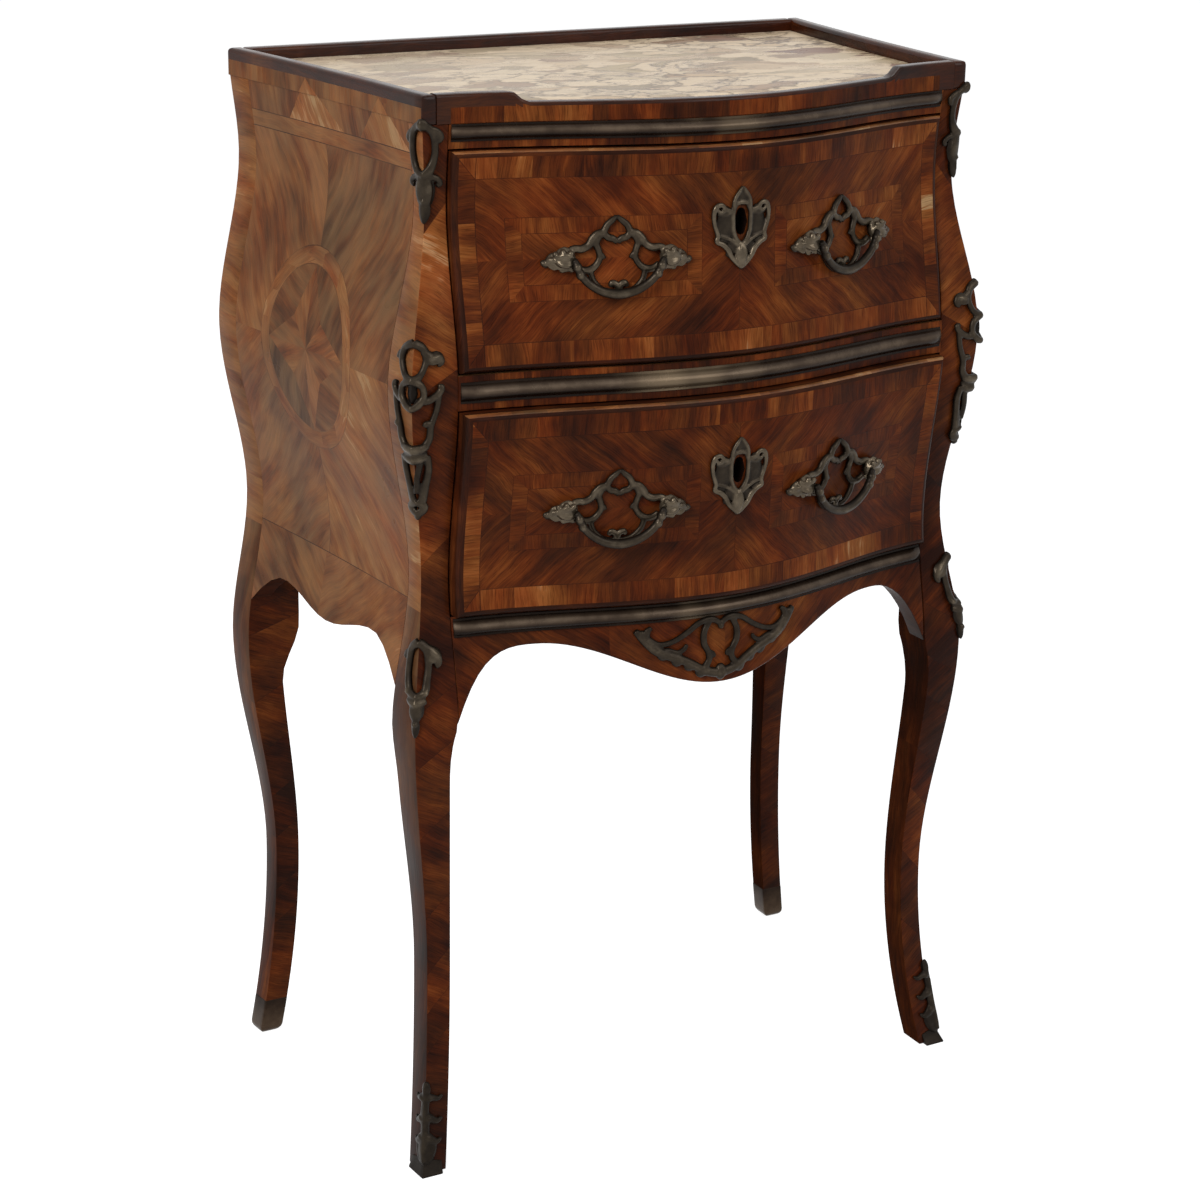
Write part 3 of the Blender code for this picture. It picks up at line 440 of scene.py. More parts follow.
def make_leg(name, leg_point, side, shoe_top, front_angle, low, side_darkening):
    """A leg from its end at low up to the top of its stile, with leaves laid at the front angle. It is cut
    thinner inside a shoe, and its outer side turns darker towards the floor by the given share."""
    chance = random.Random(name)
    slices = stops_between(0.005, CARCASS_TOP, LEG_SLICE) + ([shoe_top] if shoe_top else [])
    bm = block((0, 0, low), (LEG_BLOCK, LEG_BLOCK, CARCASS_TOP), ((), (), slices))
    joints, z = [], FIRST_JOINT_Z
    while z < STILE_JOINTS[0] - 0.02:
        joints.append(z)
        z += chance.uniform(*LEG_LEAF_LENGTHS)
    shades = [0.0, *(chance.uniform(*LEG_LEAF_SHADES) for _ in joints[1:]), KNEE_SHADE, *STILE_SHADES_AND_HIGHLIGHT]
    joints += STILE_JOINTS
    seeds = [chance.random() for _ in shades]
    lean = math.tan(math.radians(front_angle))
    for z in joints:
        for gap in (-LEG_GLUE, LEG_GLUE):
            saw(bm, (LEG_BLOCK / 2, 0, z + gap), Vector((lean, 0, 1)).normalized())
    leaf = bm.faces.layers.int.new("leaf")
    for face in bm.faces:
        middle = face.calc_center_median()
        height = middle.z + lean * (middle.x - LEG_BLOCK / 2)
        in_joint = min(abs(height - z) for z in joints) < LEG_GLUE * 1.04
        face[leaf] = 2 * sum(z < height for z in joints) + in_joint

    def place(x, y, z):
        u, v = x / LEG_BLOCK, y / LEG_BLOCK
        if z < shoe_top - 0.001:
            inset = SHOE_WALL / LEG_END
            u, v = mix(inset, 1 - inset, u), mix(inset, 1 - inset, v)
        px, py, pz = leg_point(u, v, z)
        return side * px, py, pz
    bend(bm, place)
    round_edges(bm, LEG_ROUND, 3)
    leaf = bm.faces.layers.int["leaf"]
    leaf_codes = {tuple(round(c, 5) for c in f.calc_center_median()): f[leaf] for f in bm.faces}

    def facing_in(middle, normal):
        return normal.x * side < -0.45 or normal.y > 0.45

    def leaf_of(middle, normal):
        index, in_joint = divmod(leaf_codes[tuple(round(c, 5) for c in middle)], 2)
        if normal.y < -0.6:
            # The front face is darker towards the floor.
            floor_darkening = 0.30 * ease((0.075 - middle.z) / 0.06)
            return side * front_angle, shades[index], seeds[index], max(0.45 * in_joint, floor_darkening)
        # The cross-banded upper side is lighter and mixed paler: sun bleaching with a painted sheen.
        if normal.x * side > 0.6 and middle.z > SIDE_VENEER_Z:
            strip = int(middle.z / 0.043)
            return 5, 0.62 + 0.4 * seeds[strip % len(seeds)], seeds[strip % 7], 0.0, SIDE_FADE_AND_SHEEN
        if normal.x * side > 0.6:
            floor_darkening = side_darkening * ease((SIDE_DARKENING_Z - middle.z) / 0.07)
            fade_and_sheen = SIDE_FADE_AND_SHEEN * (middle.z / SIDE_VENEER_Z) ** 3
            return 84 * side, 0.18 + 0.5 * shades[index // 3], seeds[index // 3], floor_darkening, fade_and_sheen
        if abs(normal.y) < 0.35 and abs(normal.x) < 0.35:
            return 0, 0.2, 0.5, 0.3
        return 90, 0.25, seeds[index // 4], 0.52 if facing_in(middle, normal) else 0.25
    lay_veneer(bm, leaf_of, facing_in)
    make_piece(name + "_veneered", bm, (kingwood, stained_beech), "carcass", "veneer", name)


SIDES = (("left", -1), ("right", 1))
REAR_LEG_POINT = {"left": rear_leg_point, "right": right_rear_leg_point}
for word, side in SIDES:
    make_leg(word + "_front_leg", front_leg_point, side, shoe_top=0, front_angle=33, low=0.0012, side_darkening=0.60)
    make_leg(word + "_rear_leg", REAR_LEG_POINT[word], side, shoe_top=CAP_TOP, front_angle=24, low=0.005,
             side_darkening=0.18)

# Side panels: thick pine boards sawn to the bombe line and veneered. Quarter-matched leaves meet at an
# oval inlay with a four-point star, under a plain strip and a frieze of let-in triangles. All is paler:
# sun-bleached, with a painted sheen.
SIDE_THICK = 0.016
SIDE_BLANK_LOW, SIDE_JOINT_Z = 0.392, 0.442
STRIP_LOW_Z, FRIEZE_Z = 0.7465, 0.7585
SIDE_LINES, SIDE_LINE_WIDTH = (SIDE_JOINT_Z, STRIP_LOW_Z, FRIEZE_Z), 0.0007
FRIEZE_RISE = 0.0315
FRIEZE_TRIANGLES = ((0.0883, 0.060, 0.0105), (-0.012, -0.043, -0.0818))
TRIANGLE_GRAIN, BETWEEN_GRAIN = 62, 84
OVAL_Y, OVAL_Z, OVAL_RISE, OVAL_SQUEEZE, OVAL_RING = 0.039, 0.599, 0.075, 0.88, 0.0130
OVAL_CUTS, OVAL_LINE = 40, 0.0006
STAR_TIP, STAR_WAIST, STAR_GROUND = 0.98, 0.50, (0.30, 0.02)
QUARTER_SHADES = ((0.66, 0.50), (0.0, 0.52))
# The side's leaves are lifted lighter by this much: sun bleaching, and painted sheen.
SUN_FADE_AND_SHEEN_LIFT = 0.30
ARCH_Z = 0.4052


def scallop_z(q, arch_share, drop, fall, steepness):
    """Lower edge of a board: a dropped middle, an arch and a fall towards the legs."""
    if q < arch_share:
        return ARCH_Z - drop * (0.5 + 0.5 * math.cos(math.pi * q / arch_share))
    return ARCH_Z - fall * ((q - arch_share) / (1 - arch_share)) ** steepness


def side_low_z(y):
    middle, half = (POST_Y + REAR_POST_Y) / 2, (REAR_POST_Y - POST_Y) / 2
    return scallop_z(min(abs(y - middle) / half, 1.0), 0.62, 0.013, 0.028, 1.7)


def saw_line(bm, point, normal, within=None, width=0.0005):
    """Two cuts side by side, which leave a narrow strip for a dark joint."""
    normal = Vector(normal).normalized()
    for edge in (-0.5, 0.5):
        saw(bm, Vector(point) + normal * width * edge, normal, within)


def glue_line(dark):
    """The leaf that stands for a dark joint."""
    return 0, 0.2, 0.1, dark


def saw_triangles(bm, triangles, low, rise, within):
    """Saws the slanting sides of let-in triangles, each given by its rear base, tip and front base."""
    for rear, tip, front in triangles:
        for base in (rear, front):
            saw_line(bm, (0, base, low), (0, -rise, tip - base), within)


def in_triangle(c, triangles, low, rise):
    t = (c.z - low) / rise
    return any(mix(front, tip, t) < c.y < mix(rear, tip, t) for rear, tip, front in triangles)


OVAL_CORE = Vector((0, OVAL_Y, OVAL_Z))


def on_oval(angle, rise):
    """A point on the oval of that rise, at an angle measured before the circle is squeezed."""
    return OVAL_CORE + Vector((0, math.cos(angle) * rise * OVAL_SQUEEZE, math.sin(angle) * rise))


def oval_polar(c):
    """The rise of the oval through a point of the side, and the point's angle on it."""
    across, up = (c.y - OVAL_Y) / OVAL_SQUEEZE, c.z - OVAL_Z
    return math.hypot(across, up), math.atan2(up, across)


def saw_oval(bm, rise, within):
    """Saws the outline of the oval into the faces that pass the test."""
    done = []
    for i in range(OVAL_CUTS):
        angle = 2 * math.pi * (i + 0.5) / OVAL_CUTS
        point = on_oval(angle, rise * math.cos(math.pi / OVAL_CUTS))
        normal = Vector((0, math.cos(angle) / OVAL_SQUEEZE, math.sin(angle))).normalized()

        def near(c):
            return (within(c) and oval_polar(c)[0] < rise + 0.014
                    and all((c - p).dot(n) < 1e-6 for p, n in done))
        saw(bm, point, normal, near)
        done.append((point, normal))


def star_edge(angle):
    """How far the four-point star reaches at an angle from its nearest point, as a share of the radius."""
    a = abs((angle + math.pi / 4) % (math.pi / 2) - math.pi / 4)
    in_x, in_y = STAR_WAIST * math.cos(math.pi / 4) - STAR_TIP, STAR_WAIST * math.sin(math.pi / 4)
    return STAR_TIP * in_y / (in_y * math.cos(a) - in_x * math.sin(a))


def saw_star(bm, inner, disc):
    """Saws a four-point star into the disc inside the oval ring."""
    def cut(point, along, within):
        saw(bm, point, Vector((0, -along.z, along.y)).normalized(), within)
    for angle in range(0, 180, 45):
        cut(OVAL_CORE, on_oval(math.radians(angle), 1) - OVAL_CORE, disc)
    for quarter in range(4):
        for turn_to in (-1, 1):
            a = math.pi / 2 * quarter
            point = on_oval(a, inner * STAR_TIP)

            def wedge(c):
                turned = (oval_polar(c)[1] - a + math.pi) % (2 * math.pi) - math.pi
                return disc(c) and 0 < turned * turn_to < math.pi / 4
            cut(point, on_oval(a + turn_to * math.pi / 4, inner * STAR_WAIST) - point, wedge)


def make_side(name, side):
    chance = random.Random(name)
    bm = block((0, POST_Y, SIDE_BLANK_LOW), (SIDE_THICK, REAR_POST_Y, CARCASS_TOP),
               ((), stops_between(POST_Y, REAR_POST_Y, 0.0125),
                stops_between(SIDE_BLANK_LOW, CARCASS_TOP, 0.0105)))
    inner = OVAL_RISE - OVAL_RING

    def outside(c):
        return c.x < 1e-6

    def field(c):
        return outside(c) and SIDE_JOINT_Z < c.z < STRIP_LOW_Z and oval_polar(c)[0] > OVAL_RISE - 0.0002

    def disc(c):
        return outside(c) and oval_polar(c)[0] < inner - 0.0005
    for z in SIDE_LINES:
        saw_line(bm, (0, 0, z), (0, 0, 1), outside, SIDE_LINE_WIDTH)
    for rise in (OVAL_RISE, OVAL_RISE - OVAL_LINE, inner, inner - OVAL_LINE):
        saw_oval(bm, rise, outside)
    saw_line(bm, OVAL_CORE, (0, 1, 0), field, 0.0006)
    saw_line(bm, OVAL_CORE, (0, 0, 1), field, 0.0004)
    saw_star(bm, inner, disc)
    saw_triangles(bm, FRIEZE_TRIANGLES, FRIEZE_Z, FRIEZE_RISE, lambda c: outside(c) and c.z > FRIEZE_Z)
    skirt_top = SIDE_JOINT_Z - 0.0004

    def place(x, y, z):
        if z < skirt_top:
            z = mix(side_low_z(y), skirt_top, (z - SIDE_BLANK_LOW) / (skirt_top - SIDE_BLANK_LOW))
        return side * (side_x(y, z) - x), y, z
    bend(bm, place)
    seeds = [chance.random() for _ in range(24)]

    def oval_leaf(r, turned):
        if r < inner - OVAL_LINE:
            sector = int(math.floor(turned / (math.pi / 4))) % 8
            quarter = sector // 2
            if r < inner * star_edge(turned):
                return sector * 45 + 22, 0.80 if sector % 2 else 0.42, seeds[10 + sector], 0
            return quarter * 90 + 20, STAR_GROUND[quarter % 2], seeds[3 + quarter], 0
        if r < inner or r > OVAL_RISE - OVAL_LINE:
            return glue_line(0.22)
        sector = round(turned / (math.pi / 8))
        return sector * 22.5 + 90, 0.62 + 0.14 * seeds[sector % 16], seeds[(sector * 5) % 24], 0

    def leaf_of(c, normal):
        if normal.x * side < 0.5:
            return 0, 0.15, 0.4, 0.55
        if min(abs(c.z - z) for z in SIDE_LINES) < 0.0004:
            return glue_line(0.8)
        rear, upper = c.y > OVAL_Y, c.z > OVAL_Z
        if c.z > FRIEZE_Z:
            if in_triangle(c, FRIEZE_TRIANGLES, FRIEZE_Z, FRIEZE_RISE):
                return TRIANGLE_GRAIN, 0.90, seeds[0], 0
            return BETWEEN_GRAIN, 0.22, seeds[1 + int(c.y * 20 + 8) % 5], 0
        if c.z > STRIP_LOW_Z:
            return 4, 0.36 + 0.1 * seeds[int((c.y + 0.2) * 12)], seeds[7], 0
        if c.z < SIDE_JOINT_Z:
            return 90 - 55 * (1 if rear else -1), 0.46, seeds[8 + rear], 0
        r, turned = oval_polar(c)
        if r < OVAL_RISE:
            return oval_leaf(r, turned)
        if abs(c.y - OVAL_Y) < 0.0003:
            return 90, 0.2, 0.1, 0.40
        slope = (58 if upper else 44) * (1 if rear == upper else -1)
        return slope, QUARTER_SHADES[upper][rear], seeds[18 + rear + 2 * upper], 0

    # The outer side is painted paler: lighter leaves and a tan mix, for sun bleaching and a painted sheen.
    def faded_with_sheen(c, normal):
        angle, shade, figure, dark = leaf_of(c, normal)
        return angle, shade + SUN_FADE_AND_SHEEN_LIFT, figure, dark * 0.8, SIDE_FADE_AND_SHEEN if normal.x * side > 0.5 else 0.0
    lay_veneer(bm, faded_with_sheen)
    make_piece(name + "_marquetry", bm, kingwood, "carcass", "veneer", name)


for word, side in SIDES:
    make_side(word + "_side_panel", side)

# Front rails: pine boards laid flat between the stiles, faced with short pieces of veneer whose grain
# stands upright. The facing is a thin sheet glued on the board, which keeps its pocket for the bolt.
UPPER_RAIL = (0.7627, 0.7797)
DIVIDER_RAIL = (0.5842, 0.6087)
FACING = 0.0006
LEAF_WIDTHS, LEAF_SHADE, LEAF_SPREAD = (0.007, 0.011, 0.016, 0.022, 0.031), 0.42, 0.23


def upright_leaves(chance, a, b):
    """Ends of short veneer pieces laid side by side from a to b, each with its own shade and figure."""
    ends, x = [], a
    while x < b:
        x += chance.choice(LEAF_WIDTHS) * chance.uniform(0.8, 1.2)
        shade = min(max(chance.gauss(LEAF_SHADE, LEAF_SPREAD), 0.0), 0.95)
        ends.append((min(x, b), shade, chance.random()))
    return ends


def leaf_at(leaves, x):
    for end, shade, figure in leaves:
        if x <= end:
            return shade, figure
    return leaves[-1][1:]


def saw_leaves(bm, leaves, along, within=None):
    """Saws the joints between the pieces that lie side by side along an axis."""
    for end, _, _ in leaves[:-1]:
        saw(bm, Vector(along) * end, Vector(along), within)


def make_facing(name, low, high):
    bm = block((-STILE_X, 0, low), (STILE_X, 1, high),
               (stops_between(-STILE_X, STILE_X, 0.008), (), stops_between(low, high, 0.004)))
    leaves = upright_leaves(random.Random(name), -STILE_X, STILE_X)
    saw_leaves(bm, leaves, (1, 0, 0))
    bend(bm, lambda x, y, z: (x, front_y(x, z) - FACING * (1 - y), z))

    def leaf_of(c, normal):
        shade, figure = leaf_at(leaves, c.x)
        return 90, shade * 0.8, figure, 0
    lay_veneer(bm, leaf_of)
    make_piece(name + "_facing", bm, kingwood, "carcass", "veneer")


make_facing("upper_front_rail", *UPPER_RAIL)
make_facing("drawer_divider_rail", *DIVIDER_RAIL)

# Apron: a curved board under the lower drawer with a dropped middle, veneered in slanting leaves that
# meet in the middle, and a rounded lower edge stained dark.
APRON_TOP, APRON_THICK, APRON_ROUND = 0.4302, 0.020, 0.0018
APRON_LEAVES = ((-0.09, 0.24, 0.2), (0.0, 0.48, 0.7), (0.09, 0.42, 0.45), (0.3, 0.26, 0.9))
APRON_GRAIN = 38


def apron_low_z(x):
    return scallop_z(min(abs(x) / STILE_X, 1.0), 0.70, 0.042, 0.052, 3.0)


def make_apron():
    bm = block((-STILE_X, 0, 0), (STILE_X, 1, 1),
               (stops_between(-STILE_X, STILE_X, 0.006), (), stops_between(0, 1, 0.11)))

    def place(x, y, z):
        z = mix(apron_low_z(x), APRON_TOP, z)
        return x, front_y(x, z) + APRON_THICK * y, z
    saw(bm, (0, 0, 0), Vector((1, 0, 0)))
    bend(bm, place)
    round_edges(bm, APRON_ROUND, 3, lambda c: c.y < front_y(c.x, c.z) + 0.002 and c.z < APRON_TOP - 0.002)

    def leaf_of(c, normal):
        if normal.y > -0.55:
            return 0, 0.15, 0.4, 0.5
        return (APRON_GRAIN if c.x > 0 else -APRON_GRAIN), *leaf_at(APRON_LEAVES, c.x), 0
    lay_veneer(bm, leaf_of)
    make_piece("front_apron_veneered", bm, kingwood, "carcass", "veneer", "front_apron")


make_apron()

# Brass mouldings: three drawn brass strips, half round between two narrow fillets, pinned along the rails
# and the apron, brown with age, with a painted highlight along the crest and a painted glint near the middle.
BAND_SETBACK = 0.0015
BAND_FILLET, BAND_STEP, BAND_SWELL = 0.11, 0.0010, 0.0052
BAND_HALF_STOPS = (0.05, 0.109, 0.112, 0.125, 0.15, 0.19, 0.25, 0.33, 0.42)
BAND_END = 0.004
GLINT_AT, CREST_AT, CREST_REACH = 0.035, 0.62, 0.30


def band_profile(w):
    """How far the moulding stands out at a share of its height."""
    t = clamp((w - BAND_FILLET) / (1 - 2 * BAND_FILLET))
    return BAND_STEP + BAND_SWELL * math.sin(math.pi * t) ** 0.6 if 0 < t < 1 else BAND_STEP


def mapped(owner, vector, **values):
    return add_node(owner, "Mapping", Vector=vector, **values).outputs[0]


def tarnished_brass():
    """Drawn brass with brown-green tarnish, with a painted highlight along the crest and a painted glint of
    pale gold near the middle.
    """
    brass, shader = new_material("tarnished_brass")
    spot = object_spot(brass)
    cloud = noise(brass, spot, 34.0, 5.0, 0.65)
    lines = noise(brass, mapped(brass, spot, Scale=(8, 30, 900)), 1.0, 2.0)
    glint_spots = noise(brass, mapped(brass, spot, Location=(0.31, 0.1, 0.2)), 7.5, 3.0, 0.6)
    along = add_node(brass, "SeparateXYZ", Vector=spot).outputs[0]
    away = math_node(brass, "ABSOLUTE", math_node(brass, "ADD", along, GLINT_AT))
    # A painted glint: pale gold in spots a little left of the middle of each band.
    worn = math_node(brass, "MULTIPLY", remap(brass, glint_spots, 0.44, 0.62, 0.0, 1.0),
                     remap(brass, away, 0.005, 0.060, 0.7, 0.0))
    # The crest of the half round is painted lighter: a painted highlight of the light falling on its upper
    # part.
    crest = math_node(brass, "MULTIPLY", attribute(brass, "wear_and_highlight"), 0.52)
    level = math_node(brass, "MULTIPLY_ADD", cloud, 0.60, crest)
    tarnish = colour_ramp(brass, level, ((0.26, (0.009, 0.0052, 0.0034)), (0.46, (0.019, 0.0118, 0.0078)),
                                         (0.70, (0.042, 0.0275, 0.0185)), (0.92, (0.112, 0.0800, 0.0545))))
    set_inputs(brass, shader, Base_Color=blend(brass, worn, tarnish, (0.30, 0.22, 0.135, 1)), Metallic=0.30,
               Specular_IOR_Level=0.08, Roughness=remap(brass, cloud, 0.3, 0.7, 0.18, 0.34),
               Normal=bump(brass, 0.15, 0.0004, lines))
    return brass


old_brass = tarnished_brass()


def note_wear_and_highlight(bm, share_of):
    """Notes how bright each point is rubbed, and on the brass bands how strong the painted highlight is, as a
    share that follows from its place.
    """
    wear_and_highlight = bm.verts.layers.float_color.new("wear_and_highlight")
    for vert in bm.verts:
        share = share_of(vert.co)
        vert[wear_and_highlight] = (share, share, share, 1)


def make_band(name, low, high):
    half = STILE_X - BAND_SETBACK
    shares = [*BAND_HALF_STOPS, 0.5, *(1 - share for share in reversed(BAND_HALF_STOPS))]
    bm = block((-half, 0, low), (half, 1, high),
               (stops_between(-half, half, 0.008), (), [mix(low, high, share) for share in shares]))

    def height_share(z):
        return (z - low) / (high - low)

    def place(x, y, z):
        out = band_profile(height_share(z)) * ease(min(half - abs(x), BAND_END) / BAND_END + 0.35)
        return x, front_y(x, z) - FACING - out * (1 - y), z
    # The share peaks near the crest and drives the painted highlight there.
    note_wear_and_highlight(bm, lambda c: max(1 - ((height_share(c.z) - CREST_AT) / CREST_REACH) ** 2, 0))
    bend(bm, place)
    make_piece(name + "_moulding", bm, old_brass, "carcass", "brass", name, smooth=math.radians(50))


make_band("top_brass_band", 0.7676, 0.7796)
make_band("middle_brass_band", 0.5894, 0.6042)
make_band("bottom_brass_band", 0.4156, 0.4290)

# Gallery: a low rim of dark stained wood glued on the carcass, rounded along the top. The front rail is
# cut down between its corners, and veneer runs along the outside under the dark edge.
GALLERY_LOW, GALLERY_THICK, GALLERY_STEP = 0.780, 0.011, 0.007
GALLERY_START, GALLERY_RAMP = FRONT_HALF - 0.064, 0.011
GALLERY_VENEER, GALLERY_VENEER_HALF = 0.0104, 0.2005
RIM_STAIN, RIM_ROUND, SIDE_RIM_ROUND, RIM_END_ROUND = 0.60, 0.0026, 0.0030, 0.0012
RIM_TRIANGLES, RIM_TRIANGLE_RISE, RIM_TRIANGLE_TOP = (
    (0.0697, 0.060, 0.0430), (-0.0332, -0.043, -0.0556)), 0.0110, 0.7915


def gallery_top_z(x):
    return HEIGHT - GALLERY_STEP * ease((GALLERY_START - abs(x)) / GALLERY_RAMP)


def rim_half(y):
    return side_x(y, HEIGHT)


def make_rim(name, bm, leaf_of, node):
    """Veneers a gallery rail and polishes what is stained dark."""
    lay_veneer(bm, leaf_of, lambda c, normal: leaf_of(c, normal)[3] > 0)
    make_piece(name, bm, (kingwood, polished_kingwood), "carcass", "rim_wood", node)


def make_front_gallery():
    half = rim_half(FACE_Y) - GALLERY_THICK
    bm = block((-half, 0, 0), (half, 1, 1), (stops_between(-half, half, 0.005), (), (0.1, 0.54, 0.62, 0.8)))
    leaves = upright_leaves(random.Random("front gallery"), -half, half)
    saw_leaves(bm, leaves, (1, 0, 0))

    def place(x, y, z):
        return x, front_y(x, HEIGHT) + GALLERY_THICK * y, mix(GALLERY_LOW, gallery_top_z(x), z)
    bend(bm, place)
    round_edges(bm, RIM_ROUND, 4, lambda c: c.z > GALLERY_LOW + 0.004 and abs(c.x) < half - 0.001, angle=0.9)

    def leaf_of(c, normal):
        if normal.y < -0.8 and c.z < GALLERY_LOW + GALLERY_VENEER and abs(c.x) < GALLERY_VENEER_HALF:
            shade, figure = leaf_at(leaves, c.x)
            return 90, min(shade * 0.92, 0.8), figure, 0
        return 3, 0.20, 0.6, RIM_STAIN
    make_rim("front_gallery_rim", bm, leaf_of, "front_gallery_rail")


def make_side_gallery(word, side):
    bm = block((0, FACE_Y, GALLERY_LOW), (GALLERY_THICK, REAR_Y, HEIGHT),
               ((), stops_between(FACE_Y, REAR_Y, 0.012), (0.7842, 0.788, RIM_TRIANGLE_TOP, 0.7965)))
    saw_triangles(bm, RIM_TRIANGLES, GALLERY_LOW, RIM_TRIANGLE_RISE, lambda c: c.z < RIM_TRIANGLE_TOP)
    bend(bm, lambda x, y, z: (side * (rim_half(y) - x), y, z))
    round_edges(bm, SIDE_RIM_ROUND, 4, lambda c: c.z > HEIGHT - 0.0005, angle=0.9)
    round_edges(bm, RIM_END_ROUND, 2, lambda c: c.y < FACE_Y + 0.0005, angle=0.9)

    def leaf_of(c, normal):
        if normal.x * side > 0.8 and c.z < RIM_TRIANGLE_TOP and c.y > FACE_Y + 0.004:
            if in_triangle(c, RIM_TRIANGLES, GALLERY_LOW, RIM_TRIANGLE_RISE):
                return TRIANGLE_GRAIN, 1.10, 0.3, 0, SIDE_FADE_AND_SHEEN
            return BETWEEN_GRAIN, 0.46, 0.55 + 0.1 * (int(c.y * 20 + 8) % 4), 0, SIDE_FADE_AND_SHEEN
        return 3, 0.22, 0.7, RIM_STAIN
    make_rim(word + "_gallery_rim", bm, leaf_of, word + "_gallery_rail")


def make_rear_gallery():
    half = rim_half(REAR_Y) - GALLERY_THICK
    bm = block((-half, REAR_Y - GALLERY_THICK, GALLERY_LOW), (half, REAR_Y, HEIGHT),
               (stops_between(-half, half, 0.06), (), ()))
    round_edges(bm, RIM_ROUND, 4, lambda c: c.z > HEIGHT - 0.0005, angle=0.9)
    lay_veneer(bm, lambda c, normal: (2, 0.24, 0.8, RIM_STAIN))
    make_piece("rear_gallery_rim", bm, polished_kingwood, "carcass", "rim_wood", "rear_gallery_rail")


make_front_gallery()
for word, side in SIDES:
    make_side_gallery(word, side)
make_rear_gallery()

# Top: a slab of cream breccia marble, sawn and polished, that lies loose inside the gallery.
MARBLE_LOW, MARBLE_HIGH, MARBLE_ROUND = 0.780, 0.791, 0.0012


def breccia_marble():
    """Cream breccia: drawn-out fragments in beige and pink, grey-green veins and rusty specks."""
    marble, shader = new_material("breccia_marble")
    laid = mapped(marble, object_spot(marble), Rotation=(0, 0, 0.32), Scale=(0.72, 1.25, 1.0))
    drift = add_node(marble, "TexNoise", Vector=laid, Scale=11.0, Detail=6.0, Roughness=0.62)
    pulled = add_node(marble, "VectorMath", operation="MULTIPLY_ADD", i0=drift.outputs["Color"],
                      i1=(0.11, 0.11, 0.11), i2=laid).outputs[0]
    cells = add_node(marble, "TexVoronoi", Vector=pulled, Scale=38.0, feature="F1").outputs["Color"]
    cracks = add_node(marble, "TexVoronoi", Vector=pulled, Scale=38.0, feature="DISTANCE_TO_EDGE").outputs[0]
    cell = add_node(marble, "SeparateColor", Color=cells).outputs[0]
    fragment = colour_ramp(marble, cell, ((0.02, (0.25, 0.155, 0.115)), (0.15, (0.52, 0.395, 0.270)),
                                          (0.30, (0.65, 0.525, 0.375)), (0.80, (0.71, 0.590, 0.435)),
                                          (0.91, (0.46, 0.375, 0.250)), (1.0, (0.29, 0.225, 0.150))))
    cloud = noise(marble, pulled, 30.0, 8.0, 0.68)
    tint = colour_ramp(marble, cloud, ((0.32, (0.46, 0.38, 0.30)), (0.48, (0.90, 0.85, 0.78)),
                                       (0.66, (1.0, 0.96, 0.90))))
    colour = blend(marble, 0.85, fragment, tint, "MULTIPLY")
    vein = math_node(marble, "MULTIPLY", remap(marble, cracks, 0.0, 0.085, 1.0, 0.0),
                     remap(marble, noise(marble, laid, 6.0, 3.0), 0.38, 0.56, 0.0, 1.0))
    colour = blend(marble, vein, colour, (0.150, 0.105, 0.075, 1))
    smoke = noise(marble, mapped(marble, pulled, Scale=(1.0, 4.2, 1.0)), 12.0, 6.0, 0.7)
    colour = blend(marble, remap(marble, smoke, 0.54, 0.70, 0.0, 0.66), colour, (0.25, 0.200, 0.135, 1))
    plain = remap(marble, add_node(marble, "SeparateXYZ", Vector=pulled).outputs[0], -0.10, 0.10, 0.42, 0.0)
    set_inputs(marble, shader, Base_Color=blend(marble, plain, colour, (0.63, 0.515, 0.370, 1)),
               Roughness=remap(marble, cloud, 0.3, 0.7, 0.22, 0.36), Specular_IOR_Level=0.06)
    return marble


def make_marble():
    back_edge, front_corner = REAR_Y - GALLERY_THICK - 0.0003, FACE_Y + GALLERY_THICK + 0.0005
    bm = block((-1, 0, MARBLE_LOW), (1, 1, MARBLE_HIGH),
               (stops_between(-1, 1, 0.04), stops_between(0, 1, 0.1), ()))

    def place(x, y, z):
        along = mix(front_corner, back_edge, y)
        x = x * (rim_half(along) - GALLERY_THICK - 0.0006)
        return x, along - bow(x) * (1 - y), z
    bend(bm, place)
    round_edges(bm, MARBLE_ROUND, 2, lambda c: c.z > MARBLE_HIGH - 0.0005, angle=0.9)
    make_piece("marble_slab", bm, breccia_marble(), "carcass", "marble", "marble_top")


make_marble()

# Drawer fronts: curved boards 5 mm proud of the rails, each with a mitred border of short upright
# pieces, a quarter-matched field, and two banded panels under the handles. The edge is dark, and a
# painted highlight runs along the top lip.
DRAWER_HALF, DRAWER_PROUD, DRAWER_INSET = 0.202, 0.005, 0.0225
DRAWER_DEPTH, DRAWER_LIP = 0.0275, 0.0046
LOWER_AJAR = 0.006
BORDER_SIDE, BORDER_FLAT = 0.0165, 0.0195
PANEL_NEAR, PANEL_FAR, PANEL_BAND = 0.030, 0.165, 0.0110
PANEL_LOW, PANEL_HIGH = 0.047, 0.104
PANEL_LINE, HAIR = 0.0004, 0.0003
KEYHOLE_Z, KEYHOLE_HALF, KEYHOLE_RISE = 0.0963, 0.0036, 0.0095
KEYHOLE_CUTS, KEYHOLE_SINK = 12, 0.42
FIELD_GRAIN, FIELD_SHADES = 42, (0.38, 0.44, 0.46, 0.42)
LIP_STAIN, EDGE_STAIN = 0.62, 0.42


def drawer_face_y(x, z, ajar):
    return front_y(x, z) - DRAWER_PROUD - ajar


def on_front(c):
    """Whether a point lies on the flat front of a drawer's blank."""
    return c.y < 1e-6


